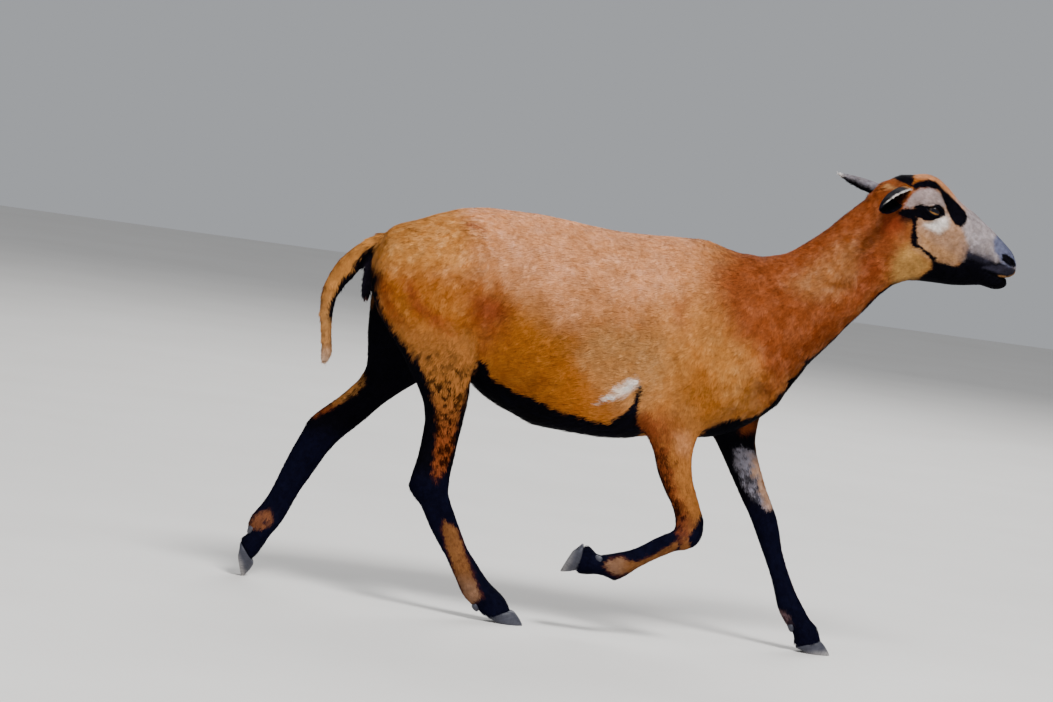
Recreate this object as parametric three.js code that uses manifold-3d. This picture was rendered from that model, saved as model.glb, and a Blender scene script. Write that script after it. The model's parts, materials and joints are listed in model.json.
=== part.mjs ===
// A life-size Cameroon hair sheep (a polled ewe) at the trot: right fore leg folded and lifted,
// left hind leg pushing off on its toe, left fore and right hind hooves flat on the ground.
//
// Millimetres. +X is forwards (towards the nose), +Y is the animal's left, +Z is up.
// The body is one implicit surface, made of stacks of oval sections that flow into each other.
// It is meshed by surface nets, once for each named part at its own cell size, and the parts
// are divided by thin plane and prism cuts. Hooves, dewclaws, ears and eyes are own shapes.

import * as THREE from "three";
import { mergeVertices } from "three/addons/utils/BufferGeometryUtils.js";
import Module from "manifold-3d";

const wasm = await Module();
wasm.setup();

// ---------------------------------------------------------------- driving dimensions

const GAP = 0.3;                 // clearance between neighbouring parts
const GROUND = -3;               // height of the ground in the section tables below
const MID_X = 153.2;             // middle of the animal's length in the section tables

const EYE_RADIUS = 13;
const EYE_AT = [560.5, 42.5, 680];

const EAR_THICKNESS = 4.4;

const FOOT_SIDE = 64;            // how far a foot stands from the middle plane
const HOOF_LENGTH = 54;
const HOOF_HEIGHT = 20.5;        // at the front of the coronet
const HEEL_HEIGHT = 7;
const CORONET_LENGTH = 36.5;
const CLAW_WIDTH = 19;
const CLEFT = 2.6;               // gap between the two claws of a hoof
const DEWCLAW_RADIUS = 5;
const DEWCLAW_LENGTH = 12;
const DEWCLAW_SPREAD = 9.5;      // from the middle of the leg

const NECK_BLEND = 34;           // how softly each part of the body flows into the trunk
const HEAD_BLEND = 16;
const CHIN_BLEND = 7;
const VULVA_BLEND = 7;
const LEG_BLEND = 16;
const KNEE_BLEND = 8;
const TAIL_BLEND = 12;

const X_AXIS = [1, 0, 0];
const Z_AXIS = [0, 0, 1];
const DIAGONAL = Math.SQRT1_2;   // the neck rises at 45 degrees
const NECK_ALONG = [DIAGONAL, 0, DIAGONAL];
const NECK_ACROSS = [-DIAGONAL, 0, DIAGONAL];

// ---------------------------------------------------------------- section tables
// Each row is one oval section: where it is along the stack, its low and high (or back and
// front) edge, its side offset y, its half-width, and how far up its widest line lies (0..1).

const TRUNK = {
  along: X_AXIS,
  across: Z_AXIS,
  power: 2.25,
  rows: [
    [-244, 474, 500, 0, 12, 0.5],
    [-236, 452, 522, 0, 32, 0.5],
    [-217, 432, 552, 0, 55, 0.52],
    [-180, 410, 568, 0, 74, 0.55],
    [-150, 396, 581, 0, 82, 0.56],
    [-109, 368, 594, 0, 87, 0.55],
    [-70, 330, 598, 0, 91, 0.52],
    [-42, 312, 598, 0, 99, 0.5],
    [-11, 299, 598, 0, 107, 0.48],
    [34, 285, 595, 0, 116, 0.47],
    [77, 283, 591, 0, 120.5, 0.47],
    [119, 282, 589, 0, 121, 0.47],
    [160, 285, 590, 0, 117.5, 0.48],
    [193, 292, 592, 0, 111, 0.48],
    [235, 298, 593, 0, 101, 0.47],
    [270, 300, 586, 0, 93, 0.46],
    [305, 309, 570, 0, 85, 0.45],
    [335, 326, 535, 0, 75, 0.46],
    [360, 346, 490, 0, 60, 0.48],
    [376, 364, 450, 0, 42, 0.5],
    [388, 388, 420, 0, 12, 0.5],
  ],
};

const NECK = {
  along: NECK_ALONG,
  across: NECK_ACROSS,
  power: 2.1,
  rows: [
    [545, 12, 172, 0, 70, 0.45],
    [575, 6, 186, 0, 74, 0.45],
    [600, 10, 193, 0, 72, 0.45],
    [625, 12.5, 190, 0, 67, 0.45],
    [647, 15, 176, 0, 62, 0.46],
    [677, 20, 162, 0, 56, 0.47],
    [710, 24, 158, 0, 51, 0.48],
    [743, 29, 156, 0, 47, 0.48],
    [775, 30, 157, 0, 45, 0.48],
    [803, 40, 157, 0, 42, 0.5],
    [842, 60, 158, 0, 36, 0.5],
    [866, 90, 140, 0, 18, 0.5],
  ],
};

const HEAD = {
  along: X_AXIS,
  across: Z_AXIS,
  power: 2.2,
  rows: [
    [474, 640, 690, 0, 22, 0.55],
    [484, 610, 706, 0, 34, 0.56],
    [496, 588, 717, 0, 42, 0.58],
    [510, 575, 725, 0, 47, 0.6],
    [530, 571, 729, 0, 51, 0.62],
    [549, 573, 732, 0, 53, 0.64],
    [563, 574, 729, 0, 52, 0.65],
    [580, 574, 718, 0, 48, 0.64],
    [600, 574, 701, 0, 41, 0.61],
    [620, 575.5, 688, 0, 34, 0.57],
    [640, 578.5, 674, 0, 28.5, 0.53],
    [655, 580.5, 664, 0, 25, 0.5],
    [668, 585, 653.5, 0, 23, 0.48],
    [680, 591.5, 643.5, 0, 22.5, 0.48],
    [689, 597, 634.5, 0, 20, 0.48],
    [695, 602, 624, 0, 13, 0.5],
    [698, 608, 614, 0, 4, 0.5],
  ],
};

const TAIL = {
  along: Z_AXIS,
  across: X_AXIS,
  power: 2,
  rows: [
    [338, -297, -292, 0, 3, 0.5],
    [343, -299.5, -287, 0, 6, 0.5],
    [355, -301, -284.5, 0, 8, 0.5],
    [370, -302.5, -287, 0, 9, 0.5],
    [394, -307, -290, 0, 10, 0.5],
    [410, -310, -290.5, 0, 10.5, 0.5],
    [431, -311, -289, 0, 11, 0.5],
    [450, -308.5, -280, 0, 12, 0.5],
    [470, -302, -266, 0, 13, 0.5],
    [490, -291, -252, 0, 14, 0.5],
    [510, -273, -238, 0, 16, 0.5],
    [528, -252, -222, 0, 18, 0.5],
    [540, -238, -215, 0, 14, 0.5],
  ],
};

const RIGHT_HIND = {
  along: Z_AXIS,
  across: X_AXIS,
  power: 2.15,
  rows: [
    [6, -13, 28, -64, 19, 0.5],
    [14, -22, 29, -64, 19, 0.5],
    [22, -35, 25.5, -64, 18, 0.5],
    [33, -47, 17.5, -64, 17, 0.5],
    [57, -62, -11, -63, 16, 0.5],
    [83, -78, -33, -62, 12.5, 0.5],
    [99, -90, -46, -61.5, 12, 0.5],
    [123, -107, -59, -61, 12, 0.5],
    [153, -125, -74.5, -61, 13.5, 0.5],
    [168, -139, -81.5, -61, 15, 0.55],
    [180, -145, -85, -61, 16, 0.6],
    [200, -142.5, -85, -61, 15, 0.6],
    [219, -139, -83, -61.5, 15.5, 0.6],
    [248, -136.5, -80, -62, 18, 0.55],
    [274, -136, -77, -62, 21, 0.52],
    [300, -141, -74, -62, 24, 0.5],
    [325, -153, -72, -61, 28, 0.5],
    [350, -169, -73, -59, 31, 0.5],
    [375, -186, -71, -56, 34, 0.5],
    [400, -206, -66, -53, 37, 0.5],
    [430, -227, -58, -51, 39, 0.48],
    [465, -240, -56, -49, 40, 0.46],
    [500, -234, -66, -46, 38, 0.45],
    [530, -212, -82, -42, 32, 0.45],
    [550, -190, -100, -36, 20, 0.45],
  ],
};

const LEFT_HIND = {
  along: Z_AXIS,
  across: X_AXIS,
  power: 2.15,
  rows: [
    [24, -371, -365, 64, 8, 0.5],
    [34, -380, -357, 64, 15, 0.5],
    [45, -385.5, -351, 64, 18, 0.5],
    [54, -384, -346, 64, 18.5, 0.5],
    [63, -377, -341.5, 64, 18, 0.5],
    [76, -378, -333, 64, 17, 0.5],
    [88, -375, -326, 63.5, 15.5, 0.5],
    [104, -365, -319, 63, 13, 0.5],
    [128, -352.5, -309.5, 62, 12, 0.5],
    [164, -340, -291, 61, 12.5, 0.5],
    [199, -327.5, -272, 61, 14, 0.5],
    [225, -317, -252, 61, 16, 0.45],
    [241, -311, -236, 61.5, 16.5, 0.45],
    [254, -301, -223, 62, 17, 0.5],
    [283, -271, -196, 62, 20, 0.52],
    [300, -256, -177, 62, 23, 0.52],
    [318, -243, -155, 61, 26, 0.52],
    [340, -236, -128, 59, 29, 0.52],
    [366, -238, -98, 57, 33, 0.5],
    [396, -241, -78, 54, 36, 0.48],
    [430, -242, -64, 51, 39, 0.47],
    [465, -241, -58, 49, 40, 0.46],
    [500, -234, -66, 46, 38, 0.45],
    [530, -212, -82, 42, 32, 0.45],
    [550, -190, -100, 36, 20, 0.45],
  ],
};

const LEFT_FORE = {
  along: Z_AXIS,
  across: X_AXIS,
  power: 2.15,
  rows: [
    [8, 455, 491, 64, 18, 0.5],
    [17, 454, 495, 64, 18.5, 0.5],
    [27, 449, 492, 64, 18, 0.5],
    [37, 438, 487, 64, 17, 0.5],
    [48, 430, 475, 64, 16.5, 0.5],
    [60, 423, 466, 64, 15.5, 0.5],
    [85, 414, 449, 63, 12, 0.5],
    [113, 402, 434, 62, 11.5, 0.5],
    [145, 386, 420, 62, 12.5, 0.5],
    [174, 371, 411.5, 62, 15.5, 0.5],
    [192, 361, 405, 62, 16.5, 0.5],
    [215, 346, 393.5, 62, 15.5, 0.5],
    [240, 330, 381, 62, 16.5, 0.5],
    [267, 313, 370, 62, 20, 0.52],
    [290, 298, 362, 62, 24, 0.52],
    [308, 284, 359, 61, 27, 0.52],
    [332, 264, 360, 60, 30, 0.52],
    [362, 248, 364, 58, 32, 0.52],
    [400, 240, 366, 54, 33, 0.5],
    [440, 238, 354, 50, 33, 0.5],
    [480, 238, 326, 46, 30, 0.5],
    [515, 236, 292, 42, 20, 0.5],
  ],
};

const RIGHT_FORE = {
  along: Z_AXIS,
  across: X_AXIS,
  power: 2.15,
  rows: [
    [141, 259, 272, -62, 8, 0.5],
    [147, 254, 282, -62, 14, 0.5],
    [156, 251.5, 289.5, -62, 16, 0.5],
    [172, 250, 293, -62, 17, 0.5],
    [187, 247, 291, -62, 16.5, 0.5],
    [205, 238.5, 284, -62, 15, 0.5],
    [224, 226, 276, -62, 15, 0.5],
    [250, 212, 267, -62, 18, 0.52],
    [279, 201, 263.5, -62, 22, 0.52],
    [299, 190, 266, -62, 25, 0.52],
    [314, 180, 271, -61.5, 27, 0.52],
    [330, 175, 284, -61, 29, 0.5],
    [348, 176, 302, -60, 31, 0.5],
    [372, 183, 324, -58, 33, 0.5],
    [402, 198, 340, -56, 34, 0.5],
    [440, 216, 338, -51, 34, 0.5],
    [480, 228, 318, -46, 30, 0.5],
    [515, 234, 290, -42, 20, 0.5],
  ],
};

const FOLDED_CANNON = {
  along: X_AXIS,
  across: Z_AXIS,
  power: 2.15,
  rows: [
    [113, 87, 112, -64, 14, 0.5],
    [120, 84, 121, -64, 17.5, 0.5],
    [129, 84, 126.5, -64, 18, 0.5],
    [138, 85, 121, -64, 17.5, 0.5],
    [147, 86, 116, -64, 16.5, 0.5],
    [160, 84.5, 119.5, -64, 16, 0.5],
    [174, 81.5, 124, -64, 16, 0.5],
    [190, 90.5, 130, -63.5, 13, 0.5],
    [205, 103, 138.5, -63, 11.5, 0.5],
    [229, 119.5, 155, -62.5, 12, 0.5],
    [252, 133, 168, -62, 14, 0.5],
    [268, 141, 176, -62, 13, 0.5],
    [280, 150, 172, -62, 8, 0.5],
  ],
};

// A rounded lower lip and chin, set back from the upper lip.
const CHIN = { at: [669, 0, 588], size: [19, 19, 11.5] };

// The vulva, which hangs below the tail between the thighs.
const VULVA = { at: [-246, 0, 455], size: [8.5, 7.5, 27] };

// Smooth swellings (positive rise) and hollows (negative) of the surface.
// side 0 is on the middle plane, 1 is on both sides, "left" or "right" on one side only.
const FORMS = [
  // head
  { at: [561, 52, 693], size: [17, 12, 8], rise: 4.5, side: 1 },      // brow over the eye
  { at: [566, 52, 668], size: [15, 12, 6], rise: 2.5, side: 1 },      // lower rim of the orbit
  { at: [528, 50, 694], size: [13, 12, 11], rise: -4, side: 1 },      // temple
  { at: [592, 40, 676], size: [12, 13, 8], rise: -3, side: 1 },       // in front of the eye
  { at: [590, 42, 652], size: [26, 12, 7], rise: 2, side: 1 },        // cheek bone
  { at: [546, 44, 616], size: [26, 18, 24], rise: 4.5, side: 1 },     // chewing muscle
  { at: [612, 32, 606], size: [20, 14, 15], rise: -2.5, side: 1 },    // hollow of the cheek
  { at: [684, 20, 632], size: [9, 8, 8], rise: 2.5, side: 1 },        // wing of the nostril
  { at: [682, 19, 607], size: [12, 8, 7], rise: 2, side: 1 },         // upper lip
  { at: [634, 0, 684], size: [22, 9, 10], rise: 1.5, side: 0 },       // bridge of the nose
  { at: [512, 22, 722], size: [14, 12, 10], rise: 2, side: 1 },       // poll
  // neck and throat
  { at: [512, 40, 650], size: [16, 14, 26], rise: -3, side: 1 },      // behind the jaw
  { at: [440, 46, 548], size: [60, 12, 14], rise: -2.5, side: 1 },    // jugular groove
  // shoulder and breast
  { at: [334, 82, 410], size: [26, 20, 26], rise: 6, side: 1 },       // point of the shoulder
  { at: [262, 96, 392], size: [40, 24, 36], rise: 6, side: 1 },       // triceps
  { at: [262, 92, 500], size: [16, 20, 60], rise: 4, side: 1 },       // shoulder blade
  { at: [205, 106, 470], size: [16, 22, 70], rise: -4, side: 1 },     // behind the shoulder
  { at: [168, 96, 350], size: [12, 26, 22], rise: -7, side: 1 },      // behind the elbow
  { at: [236, 26, 596], size: [22, 14, 12], rise: 2, side: 1 },       // withers
  { at: [368, 30, 372], size: [20, 16, 20], rise: 3, side: 1 },       // breast muscle
  // barrel
  { at: [90, 118, 440], size: [70, 30, 70], rise: 4, side: 1 },       // spring of the ribs
  { at: [-30, 92, 520], size: [40, 22, 34], rise: -6, side: 1 },      // hollow of the flank
  { at: [-50, 92, 440], size: [22, 22, 46], rise: -4, side: 1 },      // in front of the thigh
  // quarters
  { at: [-98, 66, 566], size: [18, 18, 14], rise: 6, side: 1 },       // hook bone
  { at: [-222, 44, 536], size: [16, 16, 14], rise: 4, side: 1 },      // pin bone
  { at: [-150, 88, 480], size: [52, 20, 44], rise: 5, side: 1 },      // thigh muscle
  { at: [-190, 88, 420], size: [10, 18, 46], rise: -3, side: 1 },     // groove of the hamstrings
  { at: [-100, 84, 372], size: [24, 20, 26], rise: 4, side: 1 },      // stifle
];

// ---------------------------------------------------------------- smooth profiles

// A monotone cubic through (x, y) pairs, read back from a fine table.
function smoothTable(xs, ys, samples) {
  const slopes = xs.slice(1).map((x, i) => (ys[i + 1] - ys[i]) / (x - xs[i]));
  const tangents = xs.map((x, i) => {
    if (i === 0) return slopes[0];
    if (i === xs.length - 1) return slopes[i - 1];
    const before = slopes[i - 1];
    const after = slopes[i];
    return before * after <= 0 ? 0 : (2 * before * after) / (before + after);
  });
  const table = [];
  let k = 0;
  for (let j = 0; j <= samples; j++) {
    const x = xs[0] + ((xs[xs.length - 1] - xs[0]) * j) / samples;
    while (k < xs.length - 2 && x > xs[k + 1]) k++;
    const h = xs[k + 1] - xs[k];
    const t = (x - xs[k]) / h;
    const t2 = t * t;
    const t3 = t2 * t;
    table.push(
      ys[k] * (2 * t3 - 3 * t2 + 1) + ys[k + 1] * (3 * t2 - 2 * t3)
      + h * (tangents[k] * (t3 - 2 * t2 + t) + tangents[k + 1] * (t3 - t2)));
  }
  return table;
}

function readTable(table, t) {
  const place = Math.min(Math.max(t, 0), 1) * (table.length - 1);
  const i = Math.min(Math.floor(place), table.length - 2);
  const f = place - i;
  return table[i] * (1 - f) + table[i + 1] * f;
}

const TABLE_SAMPLES = 400;

// A stack of oval sections as a signed distance field: negative inside.
function stackField({ along, across, power, rows }) {
  const places = rows.map((row) => row[0]);
  const first = places[0];
  const last = places[places.length - 1];
  const column = (pick) => smoothTable(places, rows.map(pick), TABLE_SAMPLES);
  const low = column((row) => row[1]);
  const high = column((row) => row[2]);
  const side = column((row) => row[3]);
  const half = column((row) => row[4] * row[4]);
  const widest = column((row) => row[5]);
  const step = 2 / TABLE_SAMPLES;
  return (x, y, z) => {
    const s = x * along[0] + z * along[2];
    const t = (s - first) / (last - first);
    const bottom = readTable(low, t);
    const top = readTable(high, t);
    const centre = bottom + (top - bottom) * readTable(widest, t);
    const u = x * across[0] + z * across[2] - centre;
    const v = y - readTable(side, t);
    const reach = u > 0 ? top - centre : centre - bottom;
    const width = Math.sqrt(Math.max(readTable(half, t), 1));
    const radial = Math.hypot(u, v);
    const k = ((Math.abs(u) / reach) ** power + (Math.abs(v) / width) ** power) ** (1 / power);
    const lean = (readTable(low, t + step) + readTable(high, t + step)
      - readTable(low, t - step) - readTable(high, t - step)) / (4 * step * (last - first));
    const inside = k < 1e-6 ? -Math.min(reach, width) : radial - radial / k;
    return Math.max(inside / Math.hypot(1, lean), first - s, s - last);
  };
}

function ellipsoidField({ at, size }) {
  return (x, y, z) => {
    const a = [(x - at[0]) / size[0], (y - at[1]) / size[1], (z - at[2]) / size[2]];
    const k = Math.hypot(...a);
    const g = Math.hypot(a[0] / size[0], a[1] / size[1], a[2] / size[2]);
    return g < 1e-9 ? -Math.min(...size) : (k * (k - 1)) / g;
  };
}

function blend(a, b, radius) {
  const h = Math.max(radius - Math.abs(a - b), 0) / radius;
  return Math.min(a, b) - (h * h * radius) / 4;
}

// ---------------------------------------------------------------- the body as one field

const trunkField = stackField(TRUNK);
const neckField = stackField(NECK);
const headField = stackField(HEAD);
const chinField = ellipsoidField(CHIN);
const vulvaField = ellipsoidField(VULVA);
const tailField = stackField(TAIL);
const legFields = [RIGHT_HIND, LEFT_HIND, LEFT_FORE].map(stackField);
const rightForeField = stackField(RIGHT_FORE);
const foldedField = stackField(FOLDED_CANNON);

function formRise(x, y, z) {
  let rise = 0;
  for (const { at, size, rise: height, side } of FORMS) {
    const dy = side === 0 ? y - at[1] : Math.abs(y) - at[1];
    const q = ((x - at[0]) / size[0]) ** 2 + (dy / size[1]) ** 2 + ((z - at[2]) / size[2]) ** 2;
    if (q < 9) rise += height * Math.exp(-q);
  }
  return rise;
}

function bodyField(x, y, z) {
  let d = blend(trunkField(x, y, z), neckField(x, y, z), NECK_BLEND);
  const skull = blend(headField(x, y, z), chinField(x, y, z), CHIN_BLEND);
  d = blend(d, skull, HEAD_BLEND);
  for (const leg of legFields) d = blend(d, leg(x, y, z), LEG_BLEND);
  const folded = blend(rightForeField(x, y, z), foldedField(x, y, z), KNEE_BLEND);
  d = blend(d, folded, LEG_BLEND);
  d = blend(d, tailField(x, y, z), TAIL_BLEND);
  d = blend(d, vulvaField(x, y, z), VULVA_BLEND);
  return d - formRise(x, y, z);
}

// ---------------------------------------------------------------- surface nets

function gradient(field, x, y, z, h) {
  return [
    field(x + h, y, z) - field(x - h, y, z),
    field(x, y + h, z) - field(x, y - h, z),
    field(x, y, z + h) - field(x, y, z - h),
  ].map((g) => g / (2 * h));
}

// Moves a point onto the zero surface by a few damped Newton steps.
function settle(field, p, limit) {
  let [x, y, z] = p;
  for (let i = 0; i < 4; i++) {
    const f = field(x, y, z);
    const g = gradient(field, x, y, z, 0.5);
    const g2 = Math.max(g[0] ** 2 + g[1] ** 2 + g[2] ** 2, 0.05);
    const move = Math.min(Math.max(f / g2, -limit), limit);
    x -= g[0] * move;
    y -= g[1] * move;
    z -= g[2] * move;
  }
  return [x, y, z];
}

// A cell's corners are numbered by their x, y and z bits; an edge by its corner and direction.
const CORNERS = [0, 1, 2, 3, 4, 5, 6, 7].map((n) => [n & 1, (n >> 1) & 1, n >> 2]);
const AXIS_BITS = [1, 2, 4];
const edgeNumber = (corner, axis) => (corner & ~AXIS_BITS[axis]) * 3 + axis;
const CELL_EDGES = CORNERS.flatMap((_, corner) => AXIS_BITS
  .map((bit, axis) => ({ corner, other: corner | bit, id: edgeNumber(corner, axis), bit }))
  .filter(({ bit }) => !(corner & bit)));
const CELL_FACES = [0, 1, 2].flatMap((axis) => [0, 1].map((end) => {
  const [p, q] = [0, 1, 2].filter((d) => d !== axis);
  const base = end * AXIS_BITS[axis];
  return [base, base | AXIS_BITS[p], base | AXIS_BITS[p] | AXIS_BITS[q], base | AXIS_BITS[q]];
}));

// Sorts the crossed edges of one cell into sheets, so that two sheets in a cell stay apart.
function cellSheets(f) {
  const crossed = CELL_EDGES.filter(({ corner, other }) => (f[corner] < 0) !== (f[other] < 0));
  const parent = new Map(crossed.map(({ id }) => [id, id]));
  const root = (id) => (parent.get(id) === id ? id : root(parent.get(id)));
  for (const face of CELL_FACES) {
    const sides = face.map((corner, i) => {
      const next = face[(i + 1) % 4];
      return edgeNumber(corner & next, AXIS_BITS.indexOf(corner ^ next));
    });
    const cut = sides.filter((id) => parent.has(id));
    if (cut.length === 2) parent.set(root(cut[0]), root(cut[1]));
    if (cut.length < 4) continue;
    face.forEach((corner, i) => {
      if (f[corner] < 0) parent.set(root(sides[i]), root(sides[(i + 3) % 4]));
    });
  }
  const sheets = new Map();
  for (const edge of crossed) {
    const key = root(edge.id);
    if (!sheets.has(key)) sheets.set(key, []);
    sheets.get(key).push(edge);
  }
  return [...sheets.values()];
}

// Meshes field < 0 inside a box of cells, which may be turned about +Y.
function surfaceNet(field, { low, high, cell, turn = 0 }) {
  const c = Math.cos(turn);
  const s = Math.sin(turn);
  const pivot = low.map((v, i) => (v + high[i]) / 2);
  const toWorld = (a, b, e) => [
    pivot[0] + (a - pivot[0]) * c + (e - pivot[2]) * s,
    b,
    pivot[2] - (a - pivot[0]) * s + (e - pivot[2]) * c,
  ];
  const [nx, ny, nz] = low.map((v, i) => Math.ceil((high[i] - v) / cell[i]) + 1);
  const at = (i, j, k) => (k * ny + j) * nx + i;
  const finest = Math.min(...cell);
  const values = new Float64Array(nx * ny * nz);
  for (let k = 0; k < nz; k++) {
    for (let j = 0; j < ny; j++) {
      for (let i = 0; i < nx; i++) {
        const rim = i === 0 || j === 0 || k === 0 || i === nx - 1 || j === ny - 1 || k === nz - 1;
        const p = toWorld(low[0] + i * cell[0], low[1] + j * cell[1], low[2] + k * cell[2]);
        values[at(i, j, k)] = rim ? finest : field(...p);
      }
    }
  }
  const vertices = [];
  const vertexOf = new Map();
  for (let k = 0; k < nz - 1; k++) {
    for (let j = 0; j < ny - 1; j++) {
      for (let i = 0; i < nx - 1; i++) {
        const f = CORNERS.map(([a, b, e]) => values[at(i + a, j + b, k + e)]);
        if (f.every((v) => v < 0) || f.every((v) => v >= 0)) continue;
        const rim = i === 0 || j === 0 || k === 0 || i === nx - 2 || j === ny - 2 || k === nz - 2;
        for (const sheet of cellSheets(f)) {
          const place = [0, 0, 0];
          for (const { corner, other } of sheet) {
            const t = f[corner] / (f[corner] - f[other]);
            for (let d = 0; d < 3; d++) {
              const along = CORNERS[corner][d] * (1 - t) + CORNERS[other][d] * t;
              place[d] += along / sheet.length;
            }
          }
          const local = [i, j, k].map((n, d) => low[d] + (n + place[d]) * cell[d]);
          const world = toWorld(...local);
          for (const { id } of sheet) vertexOf.set(at(i, j, k) * 24 + id, vertices.length);
          vertices.push(rim ? world : settle(field, world, 0.45 * finest));
        }
      }
    }
  }
  const quads = [];
  const around = [[-1, -1], [0, -1], [0, 0], [-1, 0]];
  for (let k = 0; k < nz - 1; k++) {
    for (let j = 0; j < ny - 1; j++) {
      for (let i = 0; i < nx - 1; i++) {
        const here = values[at(i, j, k)] < 0;
        [0, 1, 2].forEach((axis) => {
          const next = [i, j, k].map((n, d) => n + (d === axis ? 1 : 0));
          if (here === values[at(...next)] < 0) return;
          const [p, q] = [(axis + 1) % 3, (axis + 2) % 3];
          const ring = around.map(([u, v]) => {
            const step = [0, 0, 0];
            step[p] = u;
            step[q] = v;
            const corner = CORNERS.findIndex((bits) => bits.every((bit, d) => bit === -step[d]));
            const owner = at(i + step[0], j + step[1], k + step[2]);
            return vertexOf.get(owner * 24 + edgeNumber(corner, axis));
          });
          quads.push(here ? ring : ring.reverse());
        });
      }
    }
  }
  const far = (a, b) => Math.hypot(...vertices[a].map((v, i) => v - vertices[b][i]));
  const triangles = quads.flatMap(([a, b, e, d]) =>
    (far(a, e) < far(b, d) ? [[a, b, e], [a, e, d]] : [[a, b, d], [b, e, d]]));
  return { vertices, triangles };
}

// ---------------------------------------------------------------- thinning a net

function facetNormal(a, b, c) {
  const u = b.map((v, i) => v - a[i]);
  const w = c.map((v, i) => v - a[i]);
  return [u[1] * w[2] - u[2] * w[1], u[2] * w[0] - u[0] * w[2], u[0] * w[1] - u[1] * w[0]];
}

// Whether a facet may take the place of another: it faces the same way and isn't a sliver.
function facetHolds(before, after) {
  const n = facetNormal(...before);
  const m = facetNormal(...after);
  const agree = n[0] * m[0] + n[1] * m[1] + n[2] * m[2];
  if (agree < 0.7 * Math.hypot(...n) * Math.hypot(...m)) return false;
  const longest = Math.max(...after.map((p, i) =>
    Math.hypot(...p.map((v, d) => v - after[(i + 1) % 3][d]))));
  return Math.hypot(...m) > 0.12 * longest * longest;
}

// Merges neighbouring points while every new facet stays within a tolerance of the surface,
// so gently curved stretches end up with few, larger facets.
function thinned(field, { vertices, triangles }, tolerance) {
  const points = vertices.map((p) => [...p]);
  const free = points.map((p) => Math.abs(field(...p)) < 0.5);
  let facets = triangles.map((t) => [...t]);
  let around = [];

  // The point two neighbours merge into, or null where the new facets would stray.
  function merge(a, b) {
    const middle = points[a].map((v, d) => (v + points[b][d]) / 2);
    if (Math.abs(field(...middle)) > 3 * tolerance) return null;
    const touching = [...new Set([...around[a], ...around[b]])];
    const ringOf = (v) => new Set(around[v].flatMap((i) => facets[i]));
    const ringB = ringOf(b);
    const shared = [...ringOf(a)].filter((v) => ringB.has(v) && v !== a && v !== b);
    if (shared.length !== 2) return null;
    const point = settle(field, middle, 1);
    const moved = touching
      .map((i) => facets[i])
      .filter((facet) => !(facet.includes(a) && facet.includes(b)))
      .map((facet) => ({
        before: facet.map((v) => points[v]),
        after: facet.map((v) => (v === a || v === b ? point : points[v])),
      }));
    if (!moved.every(({ before, after }) => facetHolds(before, after))) return null;
    let error = 0;
    for (const { after } of moved) {
      const centre = [0, 1, 2].map((d) => (after[0][d] + after[1][d] + after[2][d]) / 3);
      error = Math.max(error, Math.abs(field(...centre)));
      if (error > tolerance) return null;
    }
    return { a, b, point, error, ring: new Set(touching.flatMap((i) => facets[i])) };
  }

  const changed = points.map(() => 0);
  const tried = new Map();
  function tryMerge(a, b, pass) {
    const key = a * points.length + b;
    const known = tried.get(key);
    if (known && known.pass > changed[a] && known.pass > changed[b]) return known.found;
    const found = merge(a, b);
    tried.set(key, { pass, found });
    return found;
  }
  for (let done = 1, pass = 1; done > 0; pass++) {
    around = points.map(() => []);
    facets.forEach((t, i) => t.forEach((v) => around[v].push(i)));
    const merges = facets
      .flatMap((t) => t.map((v, i) => [v, t[(i + 1) % 3]]))
      .filter(([a, b]) => a < b && free[a] && free[b])
      .map(([a, b]) => tryMerge(a, b, pass))
      .filter((found) => found !== null)
      .sort((p, q) => p.error - q.error);
    const busy = new Set();
    done = 0;
    for (const { a, b, point, ring } of merges) {
      if ([...ring].some((v) => busy.has(v))) continue;
      for (const v of ring) {
        busy.add(v);
        changed[v] = pass;
      }
      points[a] = point;
      for (const i of around[b]) facets[i] = facets[i].map((v) => (v === b ? a : v));
      done++;
    }
    facets = facets.filter(([a, b, c]) => a !== b && b !== c && c !== a);
  }
  const kept = [...new Set(facets.flat())];
  const place = new Map(kept.map((v, i) => [v, i]));
  return {
    vertices: kept.map((v) => points[v]),
    triangles: facets.map((t) => t.map((v) => place.get(v))),
  };
}

const bodyNet = (box, tolerance) => thinned(bodyField, surfaceNet(bodyField, box), tolerance);

// ---------------------------------------------------------------- solids

function solidOf({ vertices, triangles }) {
  const mesh = new wasm.Mesh({
    numProp: 3,
    vertProperties: new Float32Array(vertices.flat()),
    triVerts: new Uint32Array(triangles.flat()),
  });
  return new wasm.Manifold(mesh);
}

function solidOfGeometry(geometry) {
  const bare = geometry.clone();
  bare.deleteAttribute("normal");
  bare.deleteAttribute("uv");
  const merged = mergeVertices(bare, 1e-4);
  return new wasm.Manifold(new wasm.Mesh({
    numProp: 3,
    vertProperties: new Float32Array(merged.attributes.position.array),
    triVerts: new Uint32Array(merged.index.array),
  }));
}

function geometryOf(solid) {
  const { vertProperties, triVerts, numProp } = solid.getMesh();
  const positions = new Float32Array((vertProperties.length / numProp) * 3);
  for (let i = 0; i * numProp < vertProperties.length; i++) {
    for (let d = 0; d < 3; d++) positions[3 * i + d] = vertProperties[numProp * i + d];
  }
  const geometry = new THREE.BufferGeometry();
  geometry.setAttribute("position", new THREE.BufferAttribute(positions, 3));
  geometry.setIndex(new THREE.BufferAttribute(new Uint32Array(triVerts), 1));
  geometry.computeVertexNormals();
  return geometry;
}

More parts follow.
